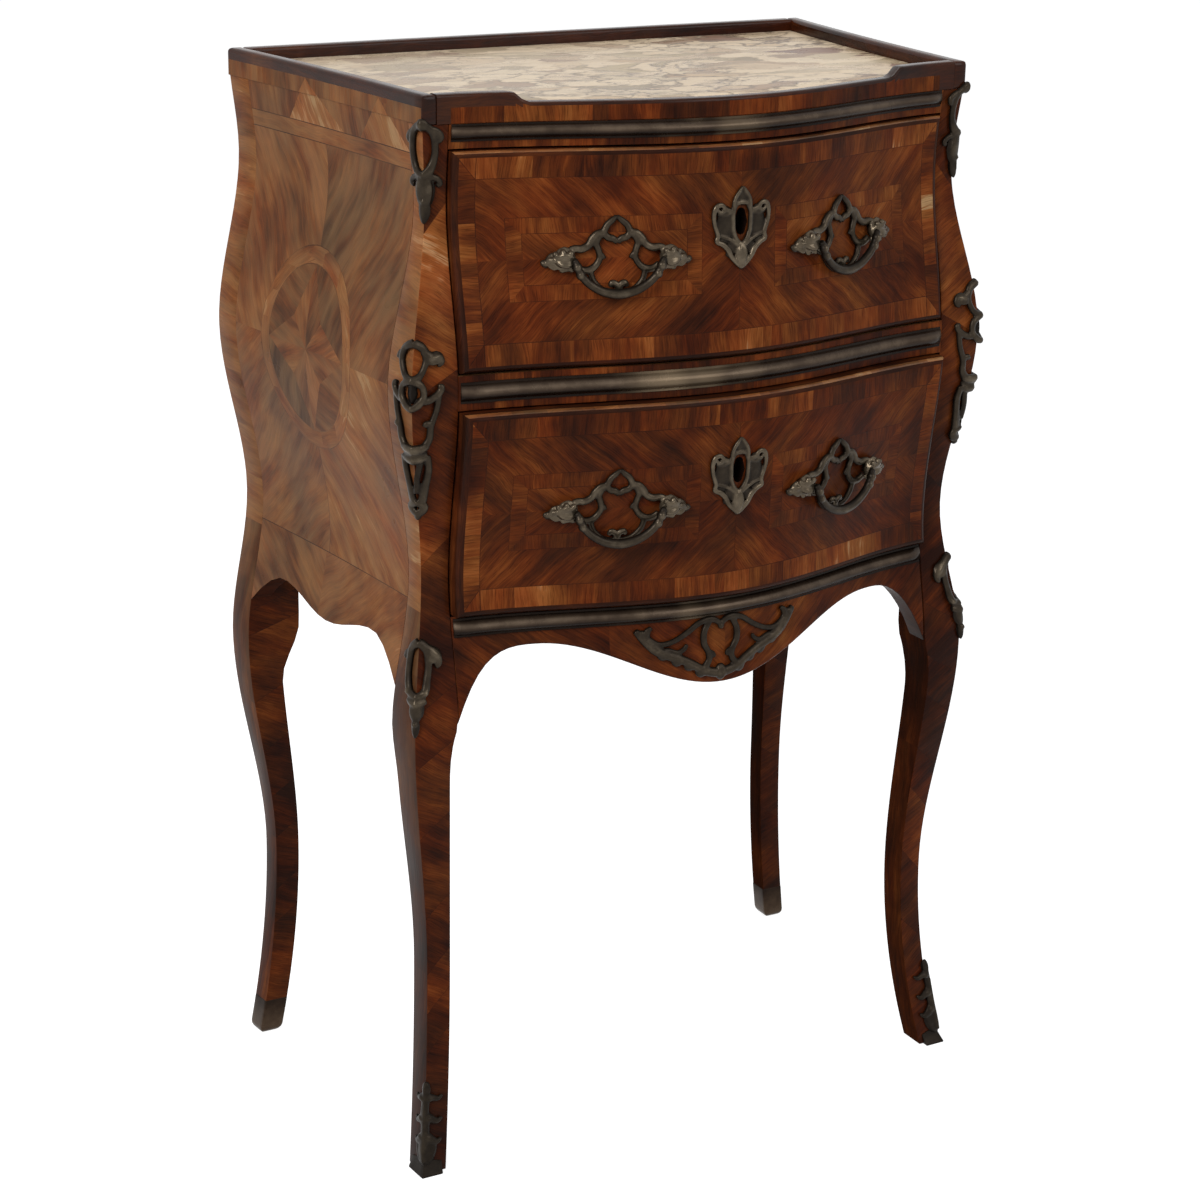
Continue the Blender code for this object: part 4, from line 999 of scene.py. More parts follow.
def saw_panels(bm, low, in_field):
    """Saws the two banded panels, with mitred corners."""
    for side in (-1, 1):
        for inset in (0.0, PANEL_BAND):
            near, far = PANEL_NEAR + inset, PANEL_FAR - inset
            under, over = low + PANEL_LOW + inset, low + PANEL_HIGH - inset

            def around(c):
                return (in_field(c) and near - 0.009 < c.x * side < far + 0.009
                        and under - 0.009 < c.z < over + 0.009)
            for x in (near, far):
                saw_line(bm, (side * x, 0, 0), (1, 0, 0), around, PANEL_LINE)
            for z in (under, over):
                saw_line(bm, (0, 0, z), (0, 0, 1), around, PANEL_LINE)
        for z, in_z in ((PANEL_LOW, 1), (PANEL_HIGH, -1)):
            for x, in_x in ((PANEL_NEAR, side), (PANEL_FAR, -side)):
                corner = Vector((side * x, 0, low + z))

                def mitre(c):
                    d = c - corner
                    return on_front(c) and all(-0.0002 < step < PANEL_BAND for step in (d.x * in_x,
                                                                                        d.z * in_z))
                saw(bm, corner, Vector((-in_x * in_z, 0, 1)).normalized(), mitre)


def sink_keyhole(bm, centre_z):
    """Saws an upright oval into the front and sinks it."""
    angles = [2 * math.pi * (i + 0.5) / KEYHOLE_CUTS for i in range(KEYHOLE_CUTS)]
    spokes = [Vector((math.cos(angle), 0, math.sin(angle))) for angle in angles]
    centre = Vector((0, 0, centre_z))

    def reach(spoke):
        return KEYHOLE_HALF + (KEYHOLE_RISE - KEYHOLE_HALF) * abs(spoke.z)

    def in_keyhole(c):
        return on_front(c) and all((c - centre).dot(spoke) < reach(spoke) + 1e-6 for spoke in spokes)
    for spoke in spokes:
        saw(bm, centre + spoke * reach(spoke), spoke,
            lambda c: on_front(c) and abs(c.x) < 0.012 and abs(c.z - centre_z) < 0.016)
    hole = [f for f in bm.faces if in_keyhole(f.calc_center_median())]
    sunk = bmesh.ops.extrude_face_region(bm, geom=with_edges(hole))
    floor_verts = [v for v in sunk["geom"] if isinstance(v, bmesh.types.BMVert)]
    bmesh.ops.translate(bm, vec=(0, KEYHOLE_SINK * DRAWER_DEPTH, 0), verts=floor_verts)


def make_drawer_front(word, low, high, ajar, painted_shade):
    chance = random.Random(word + " front")
    bm = block((-DRAWER_HALF, 0, low), (DRAWER_HALF, DRAWER_DEPTH, high),
               (stops_between(-DRAWER_HALF, DRAWER_HALF, 0.0085), (), stops_between(low, high, 0.0085)))
    middle, centre_z = (low + high) / 2, low + KEYHOLE_Z
    left, bottom, top = DRAWER_HALF - BORDER_SIDE, low + BORDER_FLAT, high - BORDER_FLAT

    def from_outline(c):
        return min(DRAWER_HALF - abs(c.x), c.z - low, high - c.z)

    def in_field(c):
        return on_front(c) and abs(c.x) < left - 0.0002 and bottom + 0.0002 < c.z < top - 0.0002
    round_edges(bm, DRAWER_LIP, 5, lambda c: on_front(c) and from_outline(c) < 1e-6)
    for x in (-left, left):
        saw_line(bm, (x, 0, 0), (1, 0, 0), on_front)
    for z in (bottom, top):
        saw_line(bm, (0, 0, z), (0, 0, 1), on_front)
    saw_line(bm, (0, 0, 0), (1, 0, 0), in_field)
    saw(bm, (0, 0, middle), Vector((0, 0, 1)), in_field)
    saw_panels(bm, low, in_field)
    for side in (-1, 1):
        for edge, sign in ((low, 1), (high, -1)):
            def border_corner(c):
                return on_front(c) and abs(c.x) > left - HAIR and abs(c.z - edge) < BORDER_FLAT + HAIR
            saw_line(bm, (side * DRAWER_HALF, 0, edge), (-sign * BORDER_FLAT, 0, -side * BORDER_SIDE),
                     border_corner)
    flat_leaves = [upright_leaves(chance, -DRAWER_HALF, DRAWER_HALF) for _ in range(2)]
    side_leaves = [upright_leaves(chance, low, high) for _ in range(2)]
    for leaves, row in zip(flat_leaves, ((low, bottom), (top, high))):
        saw_leaves(bm, leaves, (1, 0, 0), lambda c: on_front(c) and row[0] < c.z < row[1])
    for leaves, sign in zip(side_leaves, (-1, 1)):
        saw_leaves(bm, leaves, (0, 0, 1), lambda c: on_front(c) and c.x * sign > left)
    sink_keyhole(bm, centre_z)

    def place(x, y, z):
        back_y = DRAWER_INSET + FACE_Y - bow(x) - ajar
        return x, mix(drawer_face_y(x, z, ajar), back_y, y / DRAWER_DEPTH), z
    bend(bm, place)
    seeds = [chance.random() for _ in range(16)]

    def on_lip(c, normal):
        return 1e-6 < from_outline(c) < DRAWER_LIP - 1e-6 and normal.y < 0

    # A thin strip along the top lip is painted pale tan: a painted highlight where the rounded lip catches
    # the light.
    def highlight_line(c, normal):
        return on_lip(c, normal) and 0.0004 < high - c.z < 0.0020

    def border_leaf(c):
        from_side = (DRAWER_HALF - abs(c.x)) / BORDER_SIDE
        from_flat = min(c.z - low, high - c.z) / BORDER_FLAT
        if abs(from_side - from_flat) < 0.02:
            return glue_line(0.36)
        if from_side < from_flat:
            shade, figure = leaf_at(side_leaves[c.x > 0], c.z)
            return 0, 0.16 + shade, figure, 0
        shade, figure = leaf_at(flat_leaves[c.z > middle], c.x)
        return 90, (-0.04 if c.z > middle else 0.14) + shade, figure, 0

    # The field and the panels are darkened by the painted shade that each drawer front is given.
    def field_leaf(c):
        x, z, ax = c.x, c.z - low, abs(c.x)
        from_ends, from_flats = min(ax - PANEL_NEAR, PANEL_FAR - ax), min(z - PANEL_LOW, PANEL_HIGH - z)
        into = min(from_ends, from_flats)
        slope = FIELD_GRAIN if x * (c.z - middle) > 0 else -FIELD_GRAIN
        quarter = (x > 0) + 2 * (c.z > middle)
        if min(abs(into), abs(into - PANEL_BAND)) < 0.00021:
            return glue_line(0.18)
        if into > PANEL_BAND:
            return slope, 0.60 - painted_shade, seeds[quarter], 0
        if into > 0:
            upright = from_flats < from_ends
            return (90 if upright else 0), 0.58 - painted_shade, seeds[4 + 2 * (x > 0) + upright], 0
        if ax < HAIR:
            return 90, 0.2, 0.1, 0.25
        return slope, FIELD_SHADES[quarter] - painted_shade, seeds[8 + quarter], 0

    def leaf_of(c, normal):
        # The sunk floor of the keyhole is painted nearly black: painted shade for the dark hole.
        if c.y > drawer_face_y(c.x, c.z, ajar) + 0.0012 and abs(c.x) < 0.01 and abs(c.z - centre_z) < 0.02:
            return 0, 0.1, 0.1, 0.98
        # Painted highlight on the top lip: pale tan, mixed a little paler still.
        if highlight_line(c, normal):
            return 2, 0.75 + 0.35 * math.sin(c.x * 61 + 1.3) + 0.25 * math.sin(c.x * 173), 0.35, 0.0, 0.25
        if on_lip(c, normal):
            return (90 if abs(c.x) > DRAWER_HALF - DRAWER_LIP else 2), 0.20, 0.35, LIP_STAIN
        if normal.y > -0.70:
            return (90 if abs(normal.x) > 0.6 else 2), 0.30, 0.35, EDGE_STAIN
        if min(abs(abs(c.x) - left), abs(c.z - bottom), abs(c.z - top)) < HAIR:
            return glue_line(0.36)
        if abs(c.x) > left or c.z < bottom or c.z > top:
            return border_leaf(c)
        return field_leaf(c)
    lay_veneer(bm, leaf_of, highlight_line)
    make_piece(word + "_drawer_front_marquetry", bm, (kingwood, highlight_lip_kingwood), word + "_drawer", "veneer",
               word + "_drawer_front")


UPPER_DRAWER, LOWER_DRAWER = (0.6102, 0.7612), (0.4317, 0.5827)
# Painted shade: the lower front is darker than the upper one, as the lower drawer gets less light.
make_drawer_front("upper", *UPPER_DRAWER, ajar=0.0, painted_shade=0.03)
make_drawer_front("lower", *LOWER_DRAWER, ajar=LOWER_AJAR, painted_shade=0.16)

# Escutcheons: cast bronze shields with curled ears, a leaf above and a bud below, pinned over the
# keyholes. Bronze is cast here as rods, buds and beads that run together into one skin.
MM = 0.001
MOUNT_LIFT, MOUNT_SPAN = 0.0002, 0.023
ESCUTCHEON_WIDTH = 0.93


def patinated_bronze(name, hollow, dull, mid, high):
    """Old cast bronze: a dark patina in the hollows, rubbed paler on the high places."""
    bronze, shader = new_material(name)
    spot = object_spot(bronze)
    worn = math_node(bronze, "MULTIPLY", attribute(bronze, "wear_and_highlight"), 0.72)
    level = math_node(bronze, "MULTIPLY_ADD", noise(bronze, spot, 120.0, 5.0, 0.65), 0.50, worn)
    colour = colour_ramp(bronze, level, ((0.22, hollow), (0.45, dull), (0.66, mid), (0.95, high)))
    set_inputs(bronze, shader, Base_Color=colour, Metallic=0.60, Specular_IOR_Level=0.14,
               Roughness=remap(bronze, level, 0.3, 0.9, 0.46, 0.20),
               Normal=bump(bronze, 0.25, 0.0003, noise(bronze, spot, 900.0, 3.0)))
    return bronze


bronze = patinated_bronze("patinated_bronze", (0.0062, 0.0044, 0.0030), (0.0150, 0.0108, 0.0073),
                          (0.0370, 0.0275, 0.0180), (0.1320, 0.1030, 0.0690))
brown_bronze = patinated_bronze("brown_bronze", (0.0085, 0.0048, 0.0030), (0.0210, 0.0118, 0.0068),
                                (0.0430, 0.0262, 0.0155), (0.0850, 0.0580, 0.0370))


def through(points, steps=6):
    """A smooth run of points through the given ones (Catmull-Rom), all of the same length."""
    ends = [points[0]] + list(points) + [points[-1]]
    run = []
    for p0, p1, p2, p3 in zip(ends, ends[1:], ends[2:], ends[3:]):
        for i in range(steps):
            t = i / steps
            run.append([0.5 * (2 * b + (c - a) * t + (2 * a - 5 * b + 4 * c - d) * t * t
                               + (3 * b - a - 3 * c + d) * t ** 3) for a, b, c, d in zip(p0, p1, p2, p3)])
    run.append(list(points[-1]))
    return run


def rod(bm, points, flat=0.85, sides=8):
    """Sweeps a round rod along points (across, up, out, radius) in millimetres by extruding its end."""
    run = through(points)
    disc = bmesh.ops.create_circle(bm, cap_ends=True, segments=sides, radius=1)
    ring, cap = disc["verts"], disc["verts"][0].link_faces[0]
    unit = [v.co.copy() for v in ring]
    for i, (a, b, h, r) in enumerate(run):
        before, after = run[max(i - 1, 0)], run[min(i + 1, len(run) - 1)]
        along = Vector((after[0] - before[0], after[1] - before[1], 0)).normalized()
        if along.length < 0.5:
            along = Vector((1, 0, 0))
        across = Vector((-along.y, along.x, 0))
        if i:
            grown = bmesh.ops.extrude_face_region(bm, geom=with_edges([cap]))
            cap = next(g for g in grown["geom"] if isinstance(g, bmesh.types.BMFace))
            ring = sorted(cap.verts, key=lambda v: min(range(sides), key=lambda k: (last[k] - v.co).length))
        last = []
        for vert, u in zip(ring, unit):
            vert.co = (Vector((a, b, h)) + across * u.x * r + Vector((0, 0, 1)) * u.y * r * flat) * MM
            last.append(vert.co.copy())


def bud(bm, centre, length, width, height, angle=0.0, ribs=5, depth=0.13):
    """A ribbed bud: a ball drawn out along its length, with grooves that run to its tip."""
    ball = bmesh.ops.create_uvsphere(bm, u_segments=ribs * 6, v_segments=12, radius=1)
    turn_to = Matrix.Rotation(math.radians(angle), 3, "Z")
    for vert in ball["verts"]:
        x, y, z = vert.co
        round_it = math.atan2(y, x)
        grow = 1 + depth * math.cos(ribs * round_it) * (1 - z * z)
        shape = Vector((z * length / 2, x * grow * width / 2, y * grow * height / 2))
        vert.co = (turn_to @ shape + Vector(centre)) * MM


def bead(bm, centre, radius):
    ball = bmesh.ops.create_icosphere(bm, subdivisions=2, radius=radius * MM)
    bmesh.ops.translate(bm, verts=ball["verts"], vec=Vector(centre) * MM)


def mirrored(points):
    """The twin of a rod on the other side of the middle line."""
    return [(-across, *rest) for across, *rest in points]


def rod_pairs(bm, *halves):
    for half in halves:
        rod(bm, half)
        rod(bm, mirrored(half))


def run_together(bm, grain, passes=2):
    """Fuses the overlapping rods and buds of a casting into one skin and softens its joints."""
    data = bpy.data.meshes.new("mould")
    bm.to_mesh(data)
    bm.free()
    mould = bpy.data.objects.new("mould", data)
    scene.collection.objects.link(mould)
    fuse = mould.modifiers.new("fuse", "REMESH")
    fuse.mode = "VOXEL"
    fuse.voxel_size = grain
    cast = bpy.data.meshes.new_from_object(mould.evaluated_get(bpy.context.evaluated_depsgraph_get()))
    fused = bmesh.new()
    fused.from_mesh(cast)
    bpy.data.objects.remove(mould)
    bpy.data.meshes.remove(data)
    bpy.data.meshes.remove(cast)
    for _ in range(passes):
        bmesh.ops.smooth_vert(fused, verts=fused.verts[:], factor=0.5, use_axis_x=True, use_axis_y=True,
                              use_axis_z=True)
    return fused


def set_casting(name, bm, place, body, *nodes, high, grain=0.00060):
    """Fuses a casting made flat, notes how high each place is for its wear, and bends it on to the wood."""
    fused = run_together(bm, grain)
    note_wear_and_highlight(fused, lambda c: min(max(c.z / (high * MM), 0), 0.84) ** 1.5)
    bend(fused, place)
    make_piece(name, fused, bronze, body, "bronze", *nodes, smooth=math.radians(80))


def escutcheon_mould():
    bm = bmesh.new()
    rim = [(-9, 8, 1.2, 1.7), (-14, 9.2, 1.6, 1.9), (-18, 12.6, 1.8, 1.9), (-22.5, 11.2, 1.8, 2),
           (-24.2, 6, 1.6, 2), (-23.4, -1, 1.5, 1.9), (-20.6, -8.5, 1.5, 2), (-21.4, -13, 1.6, 2),
           (-16.5, -15.2, 1.6, 2.2), (-11.6, -19.5, 1.6, 2.3), (-8.6, -24.5, 1.5, 2.2),
           (-3.4, -29.5, 1.5, 2), (0, -33, 1.2, 1.3)]
    ear = [(-14, 9.2, 1.6, 1.5), (-17.2, 7.6, 1.8, 1.5), (-20, 7.8, 1.9, 1.4), (-20.6, 9.6, 1.9, 1.2)]
    leaf = [(-7.2, 8.5, 1.3, 1.8), (-7.4, 13, 1.5, 1.7), (-5.6, 17.5, 1.6, 1.7), (-2.6, 21.5, 1.6, 1.6),
            (0, 24.6, 1.4, 1.2)]
    panel = [(-4.8, 12.4, 1, 1.7), (-7.4, 7, 1.2, 1.9), (-7.6, 0, 1.2, 2), (-7, -7, 1.2, 2),
             (-4, -13, 1.2, 2), (0, -16, 1.2, 1.9)]
    bar = [(-21, 6.6, 1.1, 1.4), (-15, 5.6, 1.2, 1.5), (-8, 7.4, 1.3, 1.6)]
    stay = [(-20, -9, 1, 1.5), (-14, -10.5, 1.1, 1.7), (-8, -13, 1.2, 1.9), (-2, -17, 1.3, 2)]
    rod_pairs(bm, rim, ear, leaf, panel, bar, stay)
    for side in (-1, 1):
        bud(bm, (side * 14, -1.4, 0.6), 27, 15, 2.6, 90, 3, 0)
        bud(bm, (side * 8.2, -17.6, 0.6), 16, 9, 2.4, 90 + side * 30, 3, 0)
    rod(bm, [(-5, 13, 1.2, 1.9), (0, 13.6, 1.3, 1.9), (5, 13, 1.2, 1.9)])
    bud(bm, (0, 17.4, 0.8), 12, 8.6, 2.6, 90, 5, 0.10)
    bud(bm, (0, -22.5, 1.8), 17, 10.5, 5.6, 90, 6, 0.14)
    bead(bm, (0, -31.2, 1.4), 2)
    return bm


def front_slope(x, z, span):
    """The angle at which the front runs at a place, over a span to each side."""
    return math.atan2(front_y(x + span, z) - front_y(x - span, z), 2 * span)


def drawer_place(centre_x, centre_z, ajar, width):
    """Bends a casting on to a drawer front: across runs along the front at that place, out stands off it."""
    slope = front_slope(centre_x, centre_z, MOUNT_SPAN)

    def place(a, b, h):
        x, z = centre_x + a * width * math.cos(slope), centre_z + b
        out = h + MOUNT_LIFT
        return x + out * math.sin(slope), drawer_face_y(x, z, ajar) - out * math.cos(slope), z
    return place


DRAWERS = (("upper", *UPPER_DRAWER, 0.0), ("lower", *LOWER_DRAWER, LOWER_AJAR))
for word, low, high, ajar in DRAWERS:
    set_casting(word + "_escutcheon_casting", escutcheon_mould(),
                drawer_place(0, low + KEYHOLE_Z, ajar, ESCUTCHEON_WIDTH), word + "_drawer",
                word + "_escutcheon", high=3.3)

# Handles: pierced rocaille back plates of cast bronze with a leafy boss at each end, and a heavy bail
# that hangs on pins between the bosses and swings up to pull the drawer.
HANDLE_X, HANDLE_Z = 0.096, 0.076
BAIL_STAND_OFF, HANDLE_WIDTH = 0.0105, 0.95
HANDLE_SHIFT = {"left": 0.0055, "right": -0.0010}


def handle_mould():
    bm = bmesh.new()
    arch = [(0, 28.6, 1.5, 1.4), (-3, 25.8, 1.8, 2.3), (-7.2, 22.4, 1.9, 2.6), (-9.8, 17.6, 2, 2.8)]
    cusp = [(-9.8, 17.2, 1.9, 2.7), (-7, 13.8, 1.9, 2.7), (-3.4, 13, 1.9, 2.7), (0, 10.4, 1.8, 2.2)]
    arm = [(-9.6, 17, 2, 2.8), (-14.5, 16.4, 2, 2.9), (-18.6, 12.8, 2, 3), (-21.2, 8.6, 2, 3),
           (-26.5, 6.2, 2.2, 3), (-31.5, 6.6, 2.6, 2.8), (-35, 5.6, 3, 2.8)]
    lobe = [(-12.5, 15.4, 1.8, 2.6), (-15.4, 10.2, 1.8, 2.7), (-13.8, 4.6, 1.8, 2.7), (-13.2, 0, 1.8, 2.6),
            (-16, -5, 1.8, 2.7), (-20.5, -8, 1.9, 2.8), (-26, -8.4, 2, 2.8), (-31.5, -5.4, 2.4, 2.8)]
    spur = [(-13.6, 3, 1.8, 2.2), (-10.8, 1, 1.8, 1.9), (-9.6, -1, 1.7, 1.5)]
    under = [(-20.5, -8.4, 1.7, 2.4), (-18.4, -16, 1.7, 2.4), (-11, -22.6, 1.7, 2.3), (0, -25, 1.7, 2.3)]
    curl = [(0, -23, 2.2, 2.4), (-1.6, -18.6, 2.6, 2.5), (-5, -17.4, 2.6, 2.3), (-6.6, -20.2, 2.3, 1.7)]
    rod_pairs(bm, arch, cusp, arm, lobe, spur, under, curl)
    for side in (-1, 1):
        bud(bm, (side * 39.6, -0.2, 4.6), 17, 15, 12.6, side * 4, 6, 0.20)
        bud(bm, (side * 47.4, -1.8, 3), 13, 11, 8, side * 8, 5, 0.22)
        bud(bm, (side * 53.2, -3.2, 2.2), 9, 5.6, 4.6, side * 14, 4, 0.12)
        for across, up, out, radius in ((35.6, 4.6, 8.6, 2.2), (41.2, 5.4, 8.2, 2.2), (46.6, 3.8, 6, 2),
                                        (35, -6.4, 4.6, 3), (42, -7.2, 4.6, 2.3)):
            bead(bm, (side * across, up, out), radius)
    return bm


def bail_mould():
    bm = bmesh.new()
    arm = [(34, 0.6, -0.6, 2.3), (32, -2.4, 0, 2.7), (30.2, -7, 0.2, 3), (26.4, -12.6, 0.2, 3.1),
           (20.4, -17.8, 0, 3.2), (11.6, -22.2, 0, 3.4)]
    rod(bm, arm + [(0, -24.2, 0, 3.7)] + mirrored(arm)[::-1], flat=1, sides=10)
    for side in (-1, 1):
        bead(bm, (side * 31.4, -4.6, 0.4), 3.8)
        bead(bm, (side * 28.8, -10.2, 0.4), 3.7)
    return bm


def bail_place(centre_x, centre_z, ajar, shift):
    """Hangs a bail on its pins: it may sit a little to one side along the line of the pins."""
    slope = front_slope(centre_x, centre_z, MOUNT_SPAN)
    along = Vector((math.cos(slope), math.sin(slope), 0))
    outward = Vector((math.sin(slope), -math.cos(slope), 0))
    pivot = Vector((centre_x, drawer_face_y(centre_x, centre_z, ajar), centre_z)) + outward * BAIL_STAND_OFF

    def place(a, b, h):
        return pivot + along * (a * HANDLE_WIDTH + shift) + outward * h + Vector((0, 0, b))
    return place


for word, low, high, ajar in DRAWERS:
    for hand, side in SIDES:
        name, shift = word + "_" + hand, HANDLE_SHIFT[hand]
        x, z = side * HANDLE_X, low + HANDLE_Z
        set_casting(name + "_handle_casting", handle_mould(), drawer_place(x + shift, z, ajar, HANDLE_WIDTH),
                    word + "_drawer", name + "_handle_plate", high=5.6)
        set_casting(name + "_bail_casting", bail_mould(), bail_place(x, z, ajar, shift), name + "_bail_body",
                    name + "_bail", high=4.6)

# Corner mounts: cast bronze leaves folded round the front corners under the gallery, at the belly and at
# the knee, with open loops through which the veneer shows. Pins hold them to the stiles.
CORNER_ROUND = 0.005


def corner_place(side, base_z):
    """Folds a casting round a front corner: across is positive on the front and negative on the side."""
    def place(a, b, h):
        z = base_z + b
        if a > 0:
            x = corner_x(z) - a
            foot = Vector((x, front_y(x, z), z))
        else:
            y = corner_y(z) - a
            foot = Vector((side_x(y, z), y, z))
        angle = math.pi / 4 * (1 + min(max(a / CORNER_ROUND, -1), 1))
        p = foot + Vector((math.cos(angle), -math.sin(angle), 0)) * (h + MOUNT_LIFT)
        return side * p.x, p.y, p.z
    return place


def top_corner_mould():
    bm = bmesh.new()
    rod(bm, [(0, 66, 1.6, 2.8), (6.2, 60, 1.8, 2.8), (8, 50, 1.7, 2.7), (6.6, 40, 1.7, 2.8),
             (2.4, 32, 1.8, 3.2), (-3, 31, 1.8, 3), (-8.6, 38, 1.7, 2.8), (-10.6, 49, 1.7, 2.7),
             (-8, 60, 1.8, 2.8), (0, 66, 1.6, 2.8)])
    rod(bm, [(4, 62, 1.8, 2.4), (8.6, 60.6, 2, 2.7), (12, 57.4, 2, 2.7), (11.4, 54, 2, 2.3),
             (9.6, 55, 2, 1.8)])
    rod(bm, [(-6, 61, 1.8, 2.4), (-11.6, 58.6, 2, 2.6), (-14.6, 54.6, 2, 2.4), (-12.8, 52, 1.9, 2)])
    bud(bm, (0, 65, 2), 9, 7.5, 6, 90, 5, 0.15)
    bud(bm, (0, 20, 1.4), 27, 13, 6.4, 90, 6, 0.18)
    bud(bm, (0, 7, 1.2), 20, 8.6, 5, 90, 5, 0.14)
    rod(bm, [(2, 30, 1.6, 2.4), (8.6, 27.6, 1.8, 2.4), (10.8, 24.2, 1.8, 2.1), (8.4, 22.6, 1.7, 1.7)])
    rod(bm, [(-2, 30, 1.6, 2.4), (-9.6, 27.8, 1.8, 2.4), (-12.4, 24, 1.8, 2.1), (-9.6, 22.4, 1.7, 1.7)])
    bead(bm, (0, 12.6, 2.2), 2.6)
    return bm


def middle_corner_mould():
    bm = bmesh.new()
    rod(bm, [(0, 128, 1.8, 2.9), (6.4, 123, 1.9, 2.9), (8.6, 115, 1.8, 2.6), (5.4, 106, 1.8, 2.6),
             (0, 103, 1.8, 2.9), (-7, 106, 1.8, 2.6), (-11.4, 115, 1.8, 2.6), (-8.2, 123, 1.9, 2.9),
             (0, 128, 1.8, 2.9)])
    rod(bm, [(6, 122, 1.9, 2.9), (12, 118, 2.1, 3.1), (18, 117, 2.2, 3.1), (20.4, 113.4, 2.1, 2.6),
             (17.4, 111.6, 2, 2)])
    rod(bm, [(-8, 121, 1.9, 2.4), (-13.4, 119, 2, 2.4), (-15.8, 115.4, 2, 2.2)])
    rod(bm, [(0, 103, 2.2, 2.6), (6.4, 98, 2.6, 2.6), (7.2, 90, 2.6, 2.7), (0, 83, 2.4, 2.7),
             (-8.2, 90, 2.6, 2.7), (-7.6, 98, 2.6, 2.6), (0, 103, 2.2, 2.6)])
    bud(bm, (-0.4, 93.4, 0.2), 15, 10, 1.8, 90, 4, 0.04)
    bud(bm, (14.6, 116.4, 2.2), 14, 9, 6, 8, 5, 0.15)
    rod(bm, [(5, 88, 2, 3), (11, 87.6, 2.1, 2.9), (16.6, 90.2, 2.2, 2.9), (20.6, 93.6, 2.3, 2.8),
             (21.4, 96.6, 2.2, 2.3), (18.6, 97, 2.1, 1.8)])
    rod(bm, [(-6, 88, 2, 2.9), (-12.6, 89, 2.1, 2.8), (-18.6, 93.4, 2.2, 2.6), (-19.6, 97.4, 2.2, 2.3),
             (-16.6, 98.4, 2.1, 1.8)])
    rod(bm, [(19.6, 90.6, 2, 2.5), (17.6, 80, 1.9, 2.4), (13, 69, 2, 2.6), (11.4, 60, 2, 2.9),
             (6, 53, 2, 3.2)])
    rod(bm, [(-18, 90.6, 2, 2.5), (-17, 80, 1.9, 2.4), (-13.4, 69, 2, 2.6), (-11.6, 60, 2, 2.9),
             (-6, 53, 2, 3.2)])
    rod(bm, [(13.6, 70.6, 2.2, 2.4), (9.6, 71.4, 2.3, 2.4), (7.8, 69.2, 2.2, 1.9)])
    bead(bm, (-14.8, 70, 2.4), 2.9)
    rod(bm, [(-9.8, 55, 2, 3), (-3.6, 53.2, 2.3, 3.8), (3.6, 53.2, 2.3, 3.8), (9.8, 55.6, 2, 3)])
    rod(bm, [(-9.4, 47.4, 1.8, 2.8), (0, 45.2, 2.1, 3.6), (9.4, 47.6, 1.8, 2.8)])
    bud(bm, (0, 50.4, 1.4), 20, 10, 5.4, 0, 6, 0.10)
    rod(bm, [(9, 48, 1.8, 2.9), (9.6, 38, 1.8, 3), (6.6, 26, 1.8, 3), (3.6, 14, 1.8, 3)])
    rod(bm, [(-9.4, 48, 1.8, 2.9), (-8.6, 38, 1.8, 2.8), (-5.2, 26, 1.8, 2.8), (-2.6, 14, 1.8, 2.9)])
    rod(bm, [(4.4, 44, 1.6, 2), (1.6, 32, 1.6, 2), (0.4, 20, 1.6, 2)])
    rod(bm, [(0, 13.6, 2, 2.9), (4.4, 9.4, 2.2, 3), (0.4, 4.4, 2.1, 3), (-4.6, 9.2, 2.2, 3),
             (0, 13.6, 2, 2.9)])
    bead(bm, (0, 1.8, 1.8), 2.4)
    return bm


def knee_mould():
    bm = bmesh.new()
    rod(bm, [(0, 68, 1.6, 3), (5.4, 62, 1.8, 3), (7.2, 52, 1.7, 2.9), (6.8, 42, 1.7, 2.9),
             (5.6, 33, 1.9, 3.2), (0, 30, 1.9, 3), (-6.8, 33, 1.9, 3.2), (-9.6, 42, 1.7, 2.9),
             (-8.6, 53, 1.7, 2.9), (-6, 62, 1.8, 3), (0, 68, 1.6, 3)])
    rod(bm, [(3.6, 64, 1.9, 3), (9, 60.6, 2.2, 3.5), (13.4, 56.4, 2.2, 3.4), (14.8, 51.4, 2.1, 2.9),
             (12.4, 49.6, 2, 2.2)])
    rod(bm, [(-6, 60, 1.8, 2.5), (-11.4, 57.6, 2, 2.6), (-13.6, 53.8, 2, 2.4)])
    bud(bm, (10.4, 57.6, 2.2), 15, 10, 6.4, -42, 5, 0.15)
    bead(bm, (5.2, 32.4, 3), 2.6)
    bead(bm, (-6.6, 32.6, 3), 2.6)
    rod(bm, [(-6.6, 27, 1.8, 2.9), (0, 25.2, 2.2, 3.6), (6.2, 27, 1.8, 2.9)])
    bud(bm, (0, 20, 1.5), 17, 10.6, 5.8, 90, 6, 0.16)
    bud(bm, (0, 8.6, 1.2), 17, 6.4, 4.6, 90, 5, 0.14)
    bead(bm, (0, 10.6, 2.6), 2.2)
    return bm


CORNER_MOUNTS = (("top_corner", top_corner_mould, 0.7155), ("middle_corner", middle_corner_mould, 0.5070),
                 ("knee", knee_mould, 0.3490))
for word, side in SIDES:
    for kind, mould, base_z in CORNER_MOUNTS:
        set_casting(word + "_" + kind + "_casting", mould(), corner_place(side, base_z), "carcass",
                    word + "_" + kind + "_mount", high=6.4)

# Apron mount: a pierced casting of leafy scrolls that spread from a small lyre in the middle, pinned on
# the dropped part of the apron.
APRON_MOUNT_X, APRON_MOUNT_Z = -0.005, 0.3885
APRON_MOUNT_WIDE, APRON_MOUNT_TALL = 1.09, 1.08


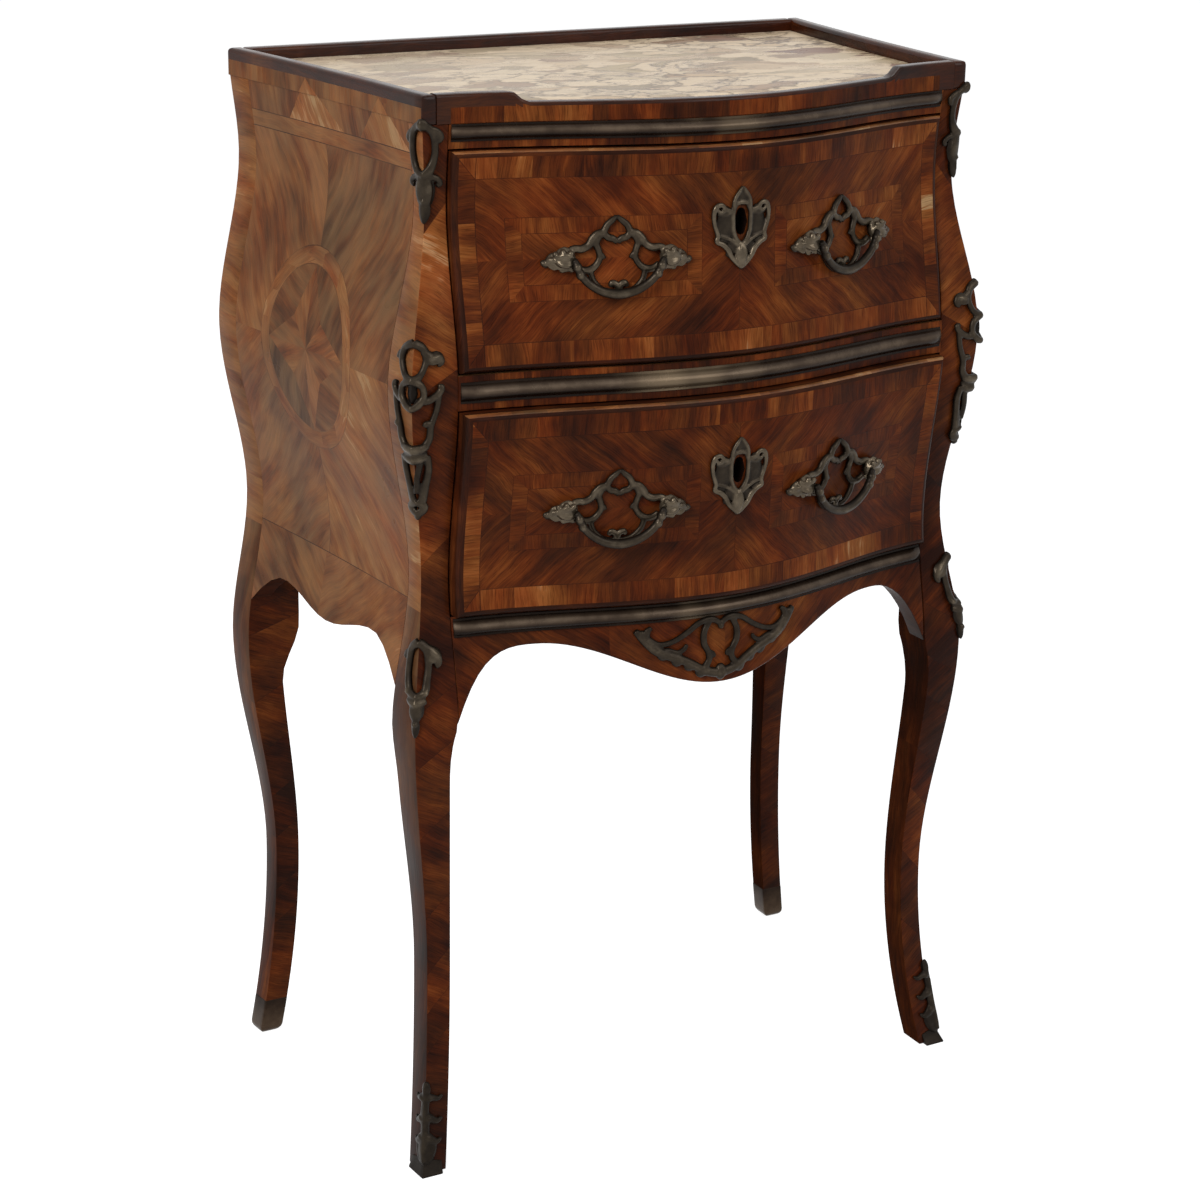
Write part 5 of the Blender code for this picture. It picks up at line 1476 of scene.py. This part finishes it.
def apron_mould():
    bm = bmesh.new()
    lower = [(-61, 20.5, 1.6, 2.3), (-56, 14.6, 1.9, 3.2), (-48, 6.6, 2, 3.7), (-39, 1.2, 1.9, 3.2),
             (-30, -2.2, 1.8, 3.3), (-21, -7, 1.9, 3.2), (-12, -12.6, 1.9, 3.4), (0, -15.6, 1.8, 3.7)]
    upper = [(-53, 13.6, 1.9, 3), (-45, 9.6, 1.7, 2.2), (-36, 10.4, 1.6, 2.1), (-26, 15.2, 1.6, 2.2),
             (-16, 21.8, 1.7, 2.3), (-7, 23.4, 1.7, 2.4), (0, 19.4, 1.6, 2.2)]
    lyre = [(-8.6, 22, 1.7, 2.2), (-12.4, 15, 1.6, 2.5), (-12.6, 7, 1.6, 2.6), (-9.4, 0.4, 1.6, 2.4),
            (-8.8, -5.4, 1.6, 2.5), (-12.6, -11.2, 1.8, 3)]
    branch = [(-45, 4.6, 1.7, 2.3), (-38, 4.6, 1.7, 2.1), (-32, 2.6, 1.8, 2), (-27, 4.8, 1.8, 1.8),
              (-25.2, 8, 1.7, 1.4)]
    tuft = [(-54, 15.6, 1.9, 2.8), (-52.6, 20, 1.9, 2.3), (-49.8, 21.8, 1.7, 1.6)]
    hook = [(-9.4, 0.4, 1.6, 2.1), (-5.8, -1, 1.6, 1.8), (-4.6, -4, 1.6, 1.5)]
    rod_pairs(bm, lower, upper, lyre, branch, tuft, hook)
    for side in (-1, 1):
        for a, b in ((-43, 1), (-33, -4.2), (-24, -8.4), (-15.6, -14)):
            bud(bm, (side * a, b, 1.6), 8, 5.4, 4.4, side * -30, 4, 0.12)
        bead(bm, (side * 57, 18.6, 2.2), 2.4)
    bud(bm, (0, -14.6, 2), 12, 8.4, 6.4, 90, 6, 0.14)
    bead(bm, (0, 17.6, 2), 2.3)
    return bm


def apron_place(a, b, h):
    x, z = a * APRON_MOUNT_WIDE + APRON_MOUNT_X, APRON_MOUNT_Z + b * APRON_MOUNT_TALL
    slope = front_slope(x, z, 0.01)
    out = h + MOUNT_LIFT
    return x + out * math.sin(slope), front_y(x, z) - out * math.cos(slope), z


set_casting("apron_casting", apron_mould(), apron_place, "carcass", "apron_mount", high=6.6, grain=0.00065)

# Feet: cast bronze shoes, pinned on. The front ones have a flared toe cup and a stem with leaf tips that
# climbs the corner and leaves the wood beside it bare, and the rear ones are plain caps.
TOE_TOP, TOE_WIDTH, SHOE_ROUND, SHOE_SLOPE = 0.0130, 0.019, 0.0010, 1.3
SOLE_STOPS = (0.04, 0.14, 0.32, 0.6, 1.0)
SABOT_Z = 0.0010


def make_shoe(leg_point, side, top, wall, flare, sole, worn, reach):
    """A shoe of that wall round the end of a leg, from its outer corner as far as the reach. Its sole is
    worn round, and where it ends short of the inner corner it slopes down."""
    fifths = stops_between(0, 1, 0.2)
    bm = block((0, 0, 0), (1, 1, top), (fifths, fifths, [sole * share for share in SOLE_STOPS] + [top * 0.7]))
    forward = leg_point is front_leg_point

    def place(u, v, z):
        rounding = sole * (1 - math.sqrt(1 - max(1 - z / sole, 0) ** 2))
        spread = (wall + flare * (1 - z / top) ** 2 - rounding) / TOE_WIDTH
        from_corner = max(1 - u, v if forward else 1 - v)
        start = mix(1, (rounding - wall) / TOE_WIDTH, reach)
        z *= 1 - (1 - reach) * SHOE_SLOPE * from_corner
        u = mix(start, 1 + spread, u)
        v = mix(-spread, 1 - start, v) if forward else mix(start, 1 + spread, v)
        x, y, z = leg_point(u, v, z)
        return side * x, y, z
    bend(bm, place)
    round_edges(bm, SHOE_ROUND, 3)
    note_wear_and_highlight(bm, lambda c: worn * ease(1.25 - c.z / top))
    return bm


def sabot_mould():
    bm = bmesh.new()
    rod(bm, [(0, 10, 1.4, 3), (-0.8, 20, 1.7, 3.4), (0.2, 33, 1.7, 3.2), (-0.4, 46, 1.7, 3.2),
             (0.3, 58, 1.5, 2.8), (0, 68, 1.2, 1.5)])
    for reach, turn_to in ((1, 1), (0.78, -1)):
        for root, tip, thick in ((59, 55.6, 2.7), (44, 39, 3.1), (30, 23.6, 3.2)):
            points = ((0.3, root, 2.9), (4.8, mix(root, tip, 0.75), 2.7), (9.2, tip - 0.4, 2.1),
                      (12.4, tip + 1.8, 1.2))
            rod(bm, [(turn_to * reach * out, up, 1.7, r * thick / 3) for out, up, r in points])
            bead(bm, (turn_to * 2.6, root - 2.6, 2.2), 2.5)
    bud(bm, (3.4, 16.4, 0.9), 20, 11, 5, 74, 6, 0.14)
    bud(bm, (-3.8, 16, 0.9), 19, 10, 4.6, 106, 5, 0.14)
    bud(bm, (0.2, 63, 1.4), 13, 6.4, 5, 90, 5, 0.15)
    return bm


for word, side in SIDES:
    cup = make_shoe(front_leg_point, side, TOE_TOP, wall=0.0008, flare=0.0034, sole=0.0020, worn=0.16,
                    reach=0.74)
    make_piece(word + "_toe_cup", cup, bronze, "carcass", "bronze", word + "_front_sabot")
    set_casting(word + "_sabot_casting", sabot_mould(), corner_place(side, SABOT_Z), "carcass", high=8.0)
    cap = make_shoe(REAR_LEG_POINT[word], side, CAP_TOP, wall=0.0003, flare=0.0, sole=0.0060, worn=0.66,
                    reach=1.0)
    make_piece(word + "_rear_cap", cap, brown_bronze, "carcass", "bronze", word + "_rear_foot_cap")

# Inner woodwork and locks: planed pine boards, runners and drawer boxes, brown with age, and iron lock
# cases with sliding bolts. Their shapes are plain, so they stay as built and take a finish here.


def old_pine(name, grain_scale, stain, plank=0.0):
    """Planed softwood: growth lines along one axis, darker patches of dirt, and joints where planks meet."""
    pine, shader = new_material(name)
    spot = object_spot(pine)
    rings = noise(pine, mapped(pine, spot, Scale=grain_scale), 1.0, 3.0, 0.6, 0.4)
    dirt = noise(pine, spot, 11.0, 4.0, 0.65)
    colour = colour_ramp(pine, rings, ((0.34, (0.170, 0.070, 0.024)), (0.50, (0.262, 0.124, 0.046)),
                                       (0.68, (0.335, 0.178, 0.074))))
    soil = colour_ramp(pine, dirt, ((0.32, (0.60, 0.54, 0.48)), (0.62, (1.0, 1.0, 1.0))))
    colour = blend(pine, 0.9, colour, soil, "MULTIPLY")
    if plank:
        across = add_node(pine, "SeparateXYZ", Vector=spot).outputs[0]
        joint = remap(pine, math_node(pine, "PINGPONG", across, plank / 2), 0.0005, 0.0012, 0.10, 1.0)
        colour = blend(pine, 1.0, colour, joint, "MULTIPLY")
    set_inputs(pine, shader, Base_Color=blend(pine, stain, colour, (0.016, 0.0085, 0.0055, 1)),
               Roughness=0.62,
               Specular_IOR_Level=0.10, Normal=bump(pine, 0.3, 0.0005, rings))
    return pine


def lock_iron():
    """Forged iron, dark and dry, with rust in the hollows."""
    iron, shader = new_material("lock_iron")
    rust = noise(iron, object_spot(iron), 160.0, 5.0, 0.7)
    colour = colour_ramp(iron, rust, ((0.36, (0.036, 0.016, 0.009)), (0.52, (0.030, 0.027, 0.025)),
                                      (0.70, (0.066, 0.062, 0.058))))
    set_inputs(iron, shader, Base_Color=colour, Metallic=0.75, Roughness=0.48,
               Normal=bump(iron, 0.3, 0.0003, rust))
    return iron


ALONG_X, ALONG_Y, ALONG_Z = (7, 260, 260), (260, 7, 260), (150, 150, 6)
BACK_PLANK = 0.15
lengthwise = old_pine("pine_lengthwise", ALONG_X, stain=0.0)
endwise = old_pine("pine_front_to_back", ALONG_Y, stain=0.0)
upright = old_pine("pine_upright", ALONG_Z, stain=0.18, plank=BACK_PLANK)
stained = old_pine("pine_stained", ALONG_X, stain=0.45)
iron = lock_iron()
finishes = {"back_panel": upright, "top_board": lengthwise, "dust_board": lengthwise,
            "bottom_board": lengthwise,
            "upper_front_rail": stained, "drawer_divider_rail": stained}
for row in ("upper", "lower"):
    for hand in ("left", "right"):
        finishes[row + "_" + hand + "_runner"] = endwise
        finishes[row + "_drawer_" + hand + "_side"] = endwise
    finishes[row + "_drawer_back"] = lengthwise
    finishes[row + "_drawer_bottom"] = lengthwise
    finishes[row + "_lock_case"] = iron
    finishes[row + "_lock_bolt"] = iron
for node_name, finish in finishes.items():
    inner_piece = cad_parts[node_name]
    inner_piece.data.materials.clear()
    inner_piece.data.materials.append(finish)
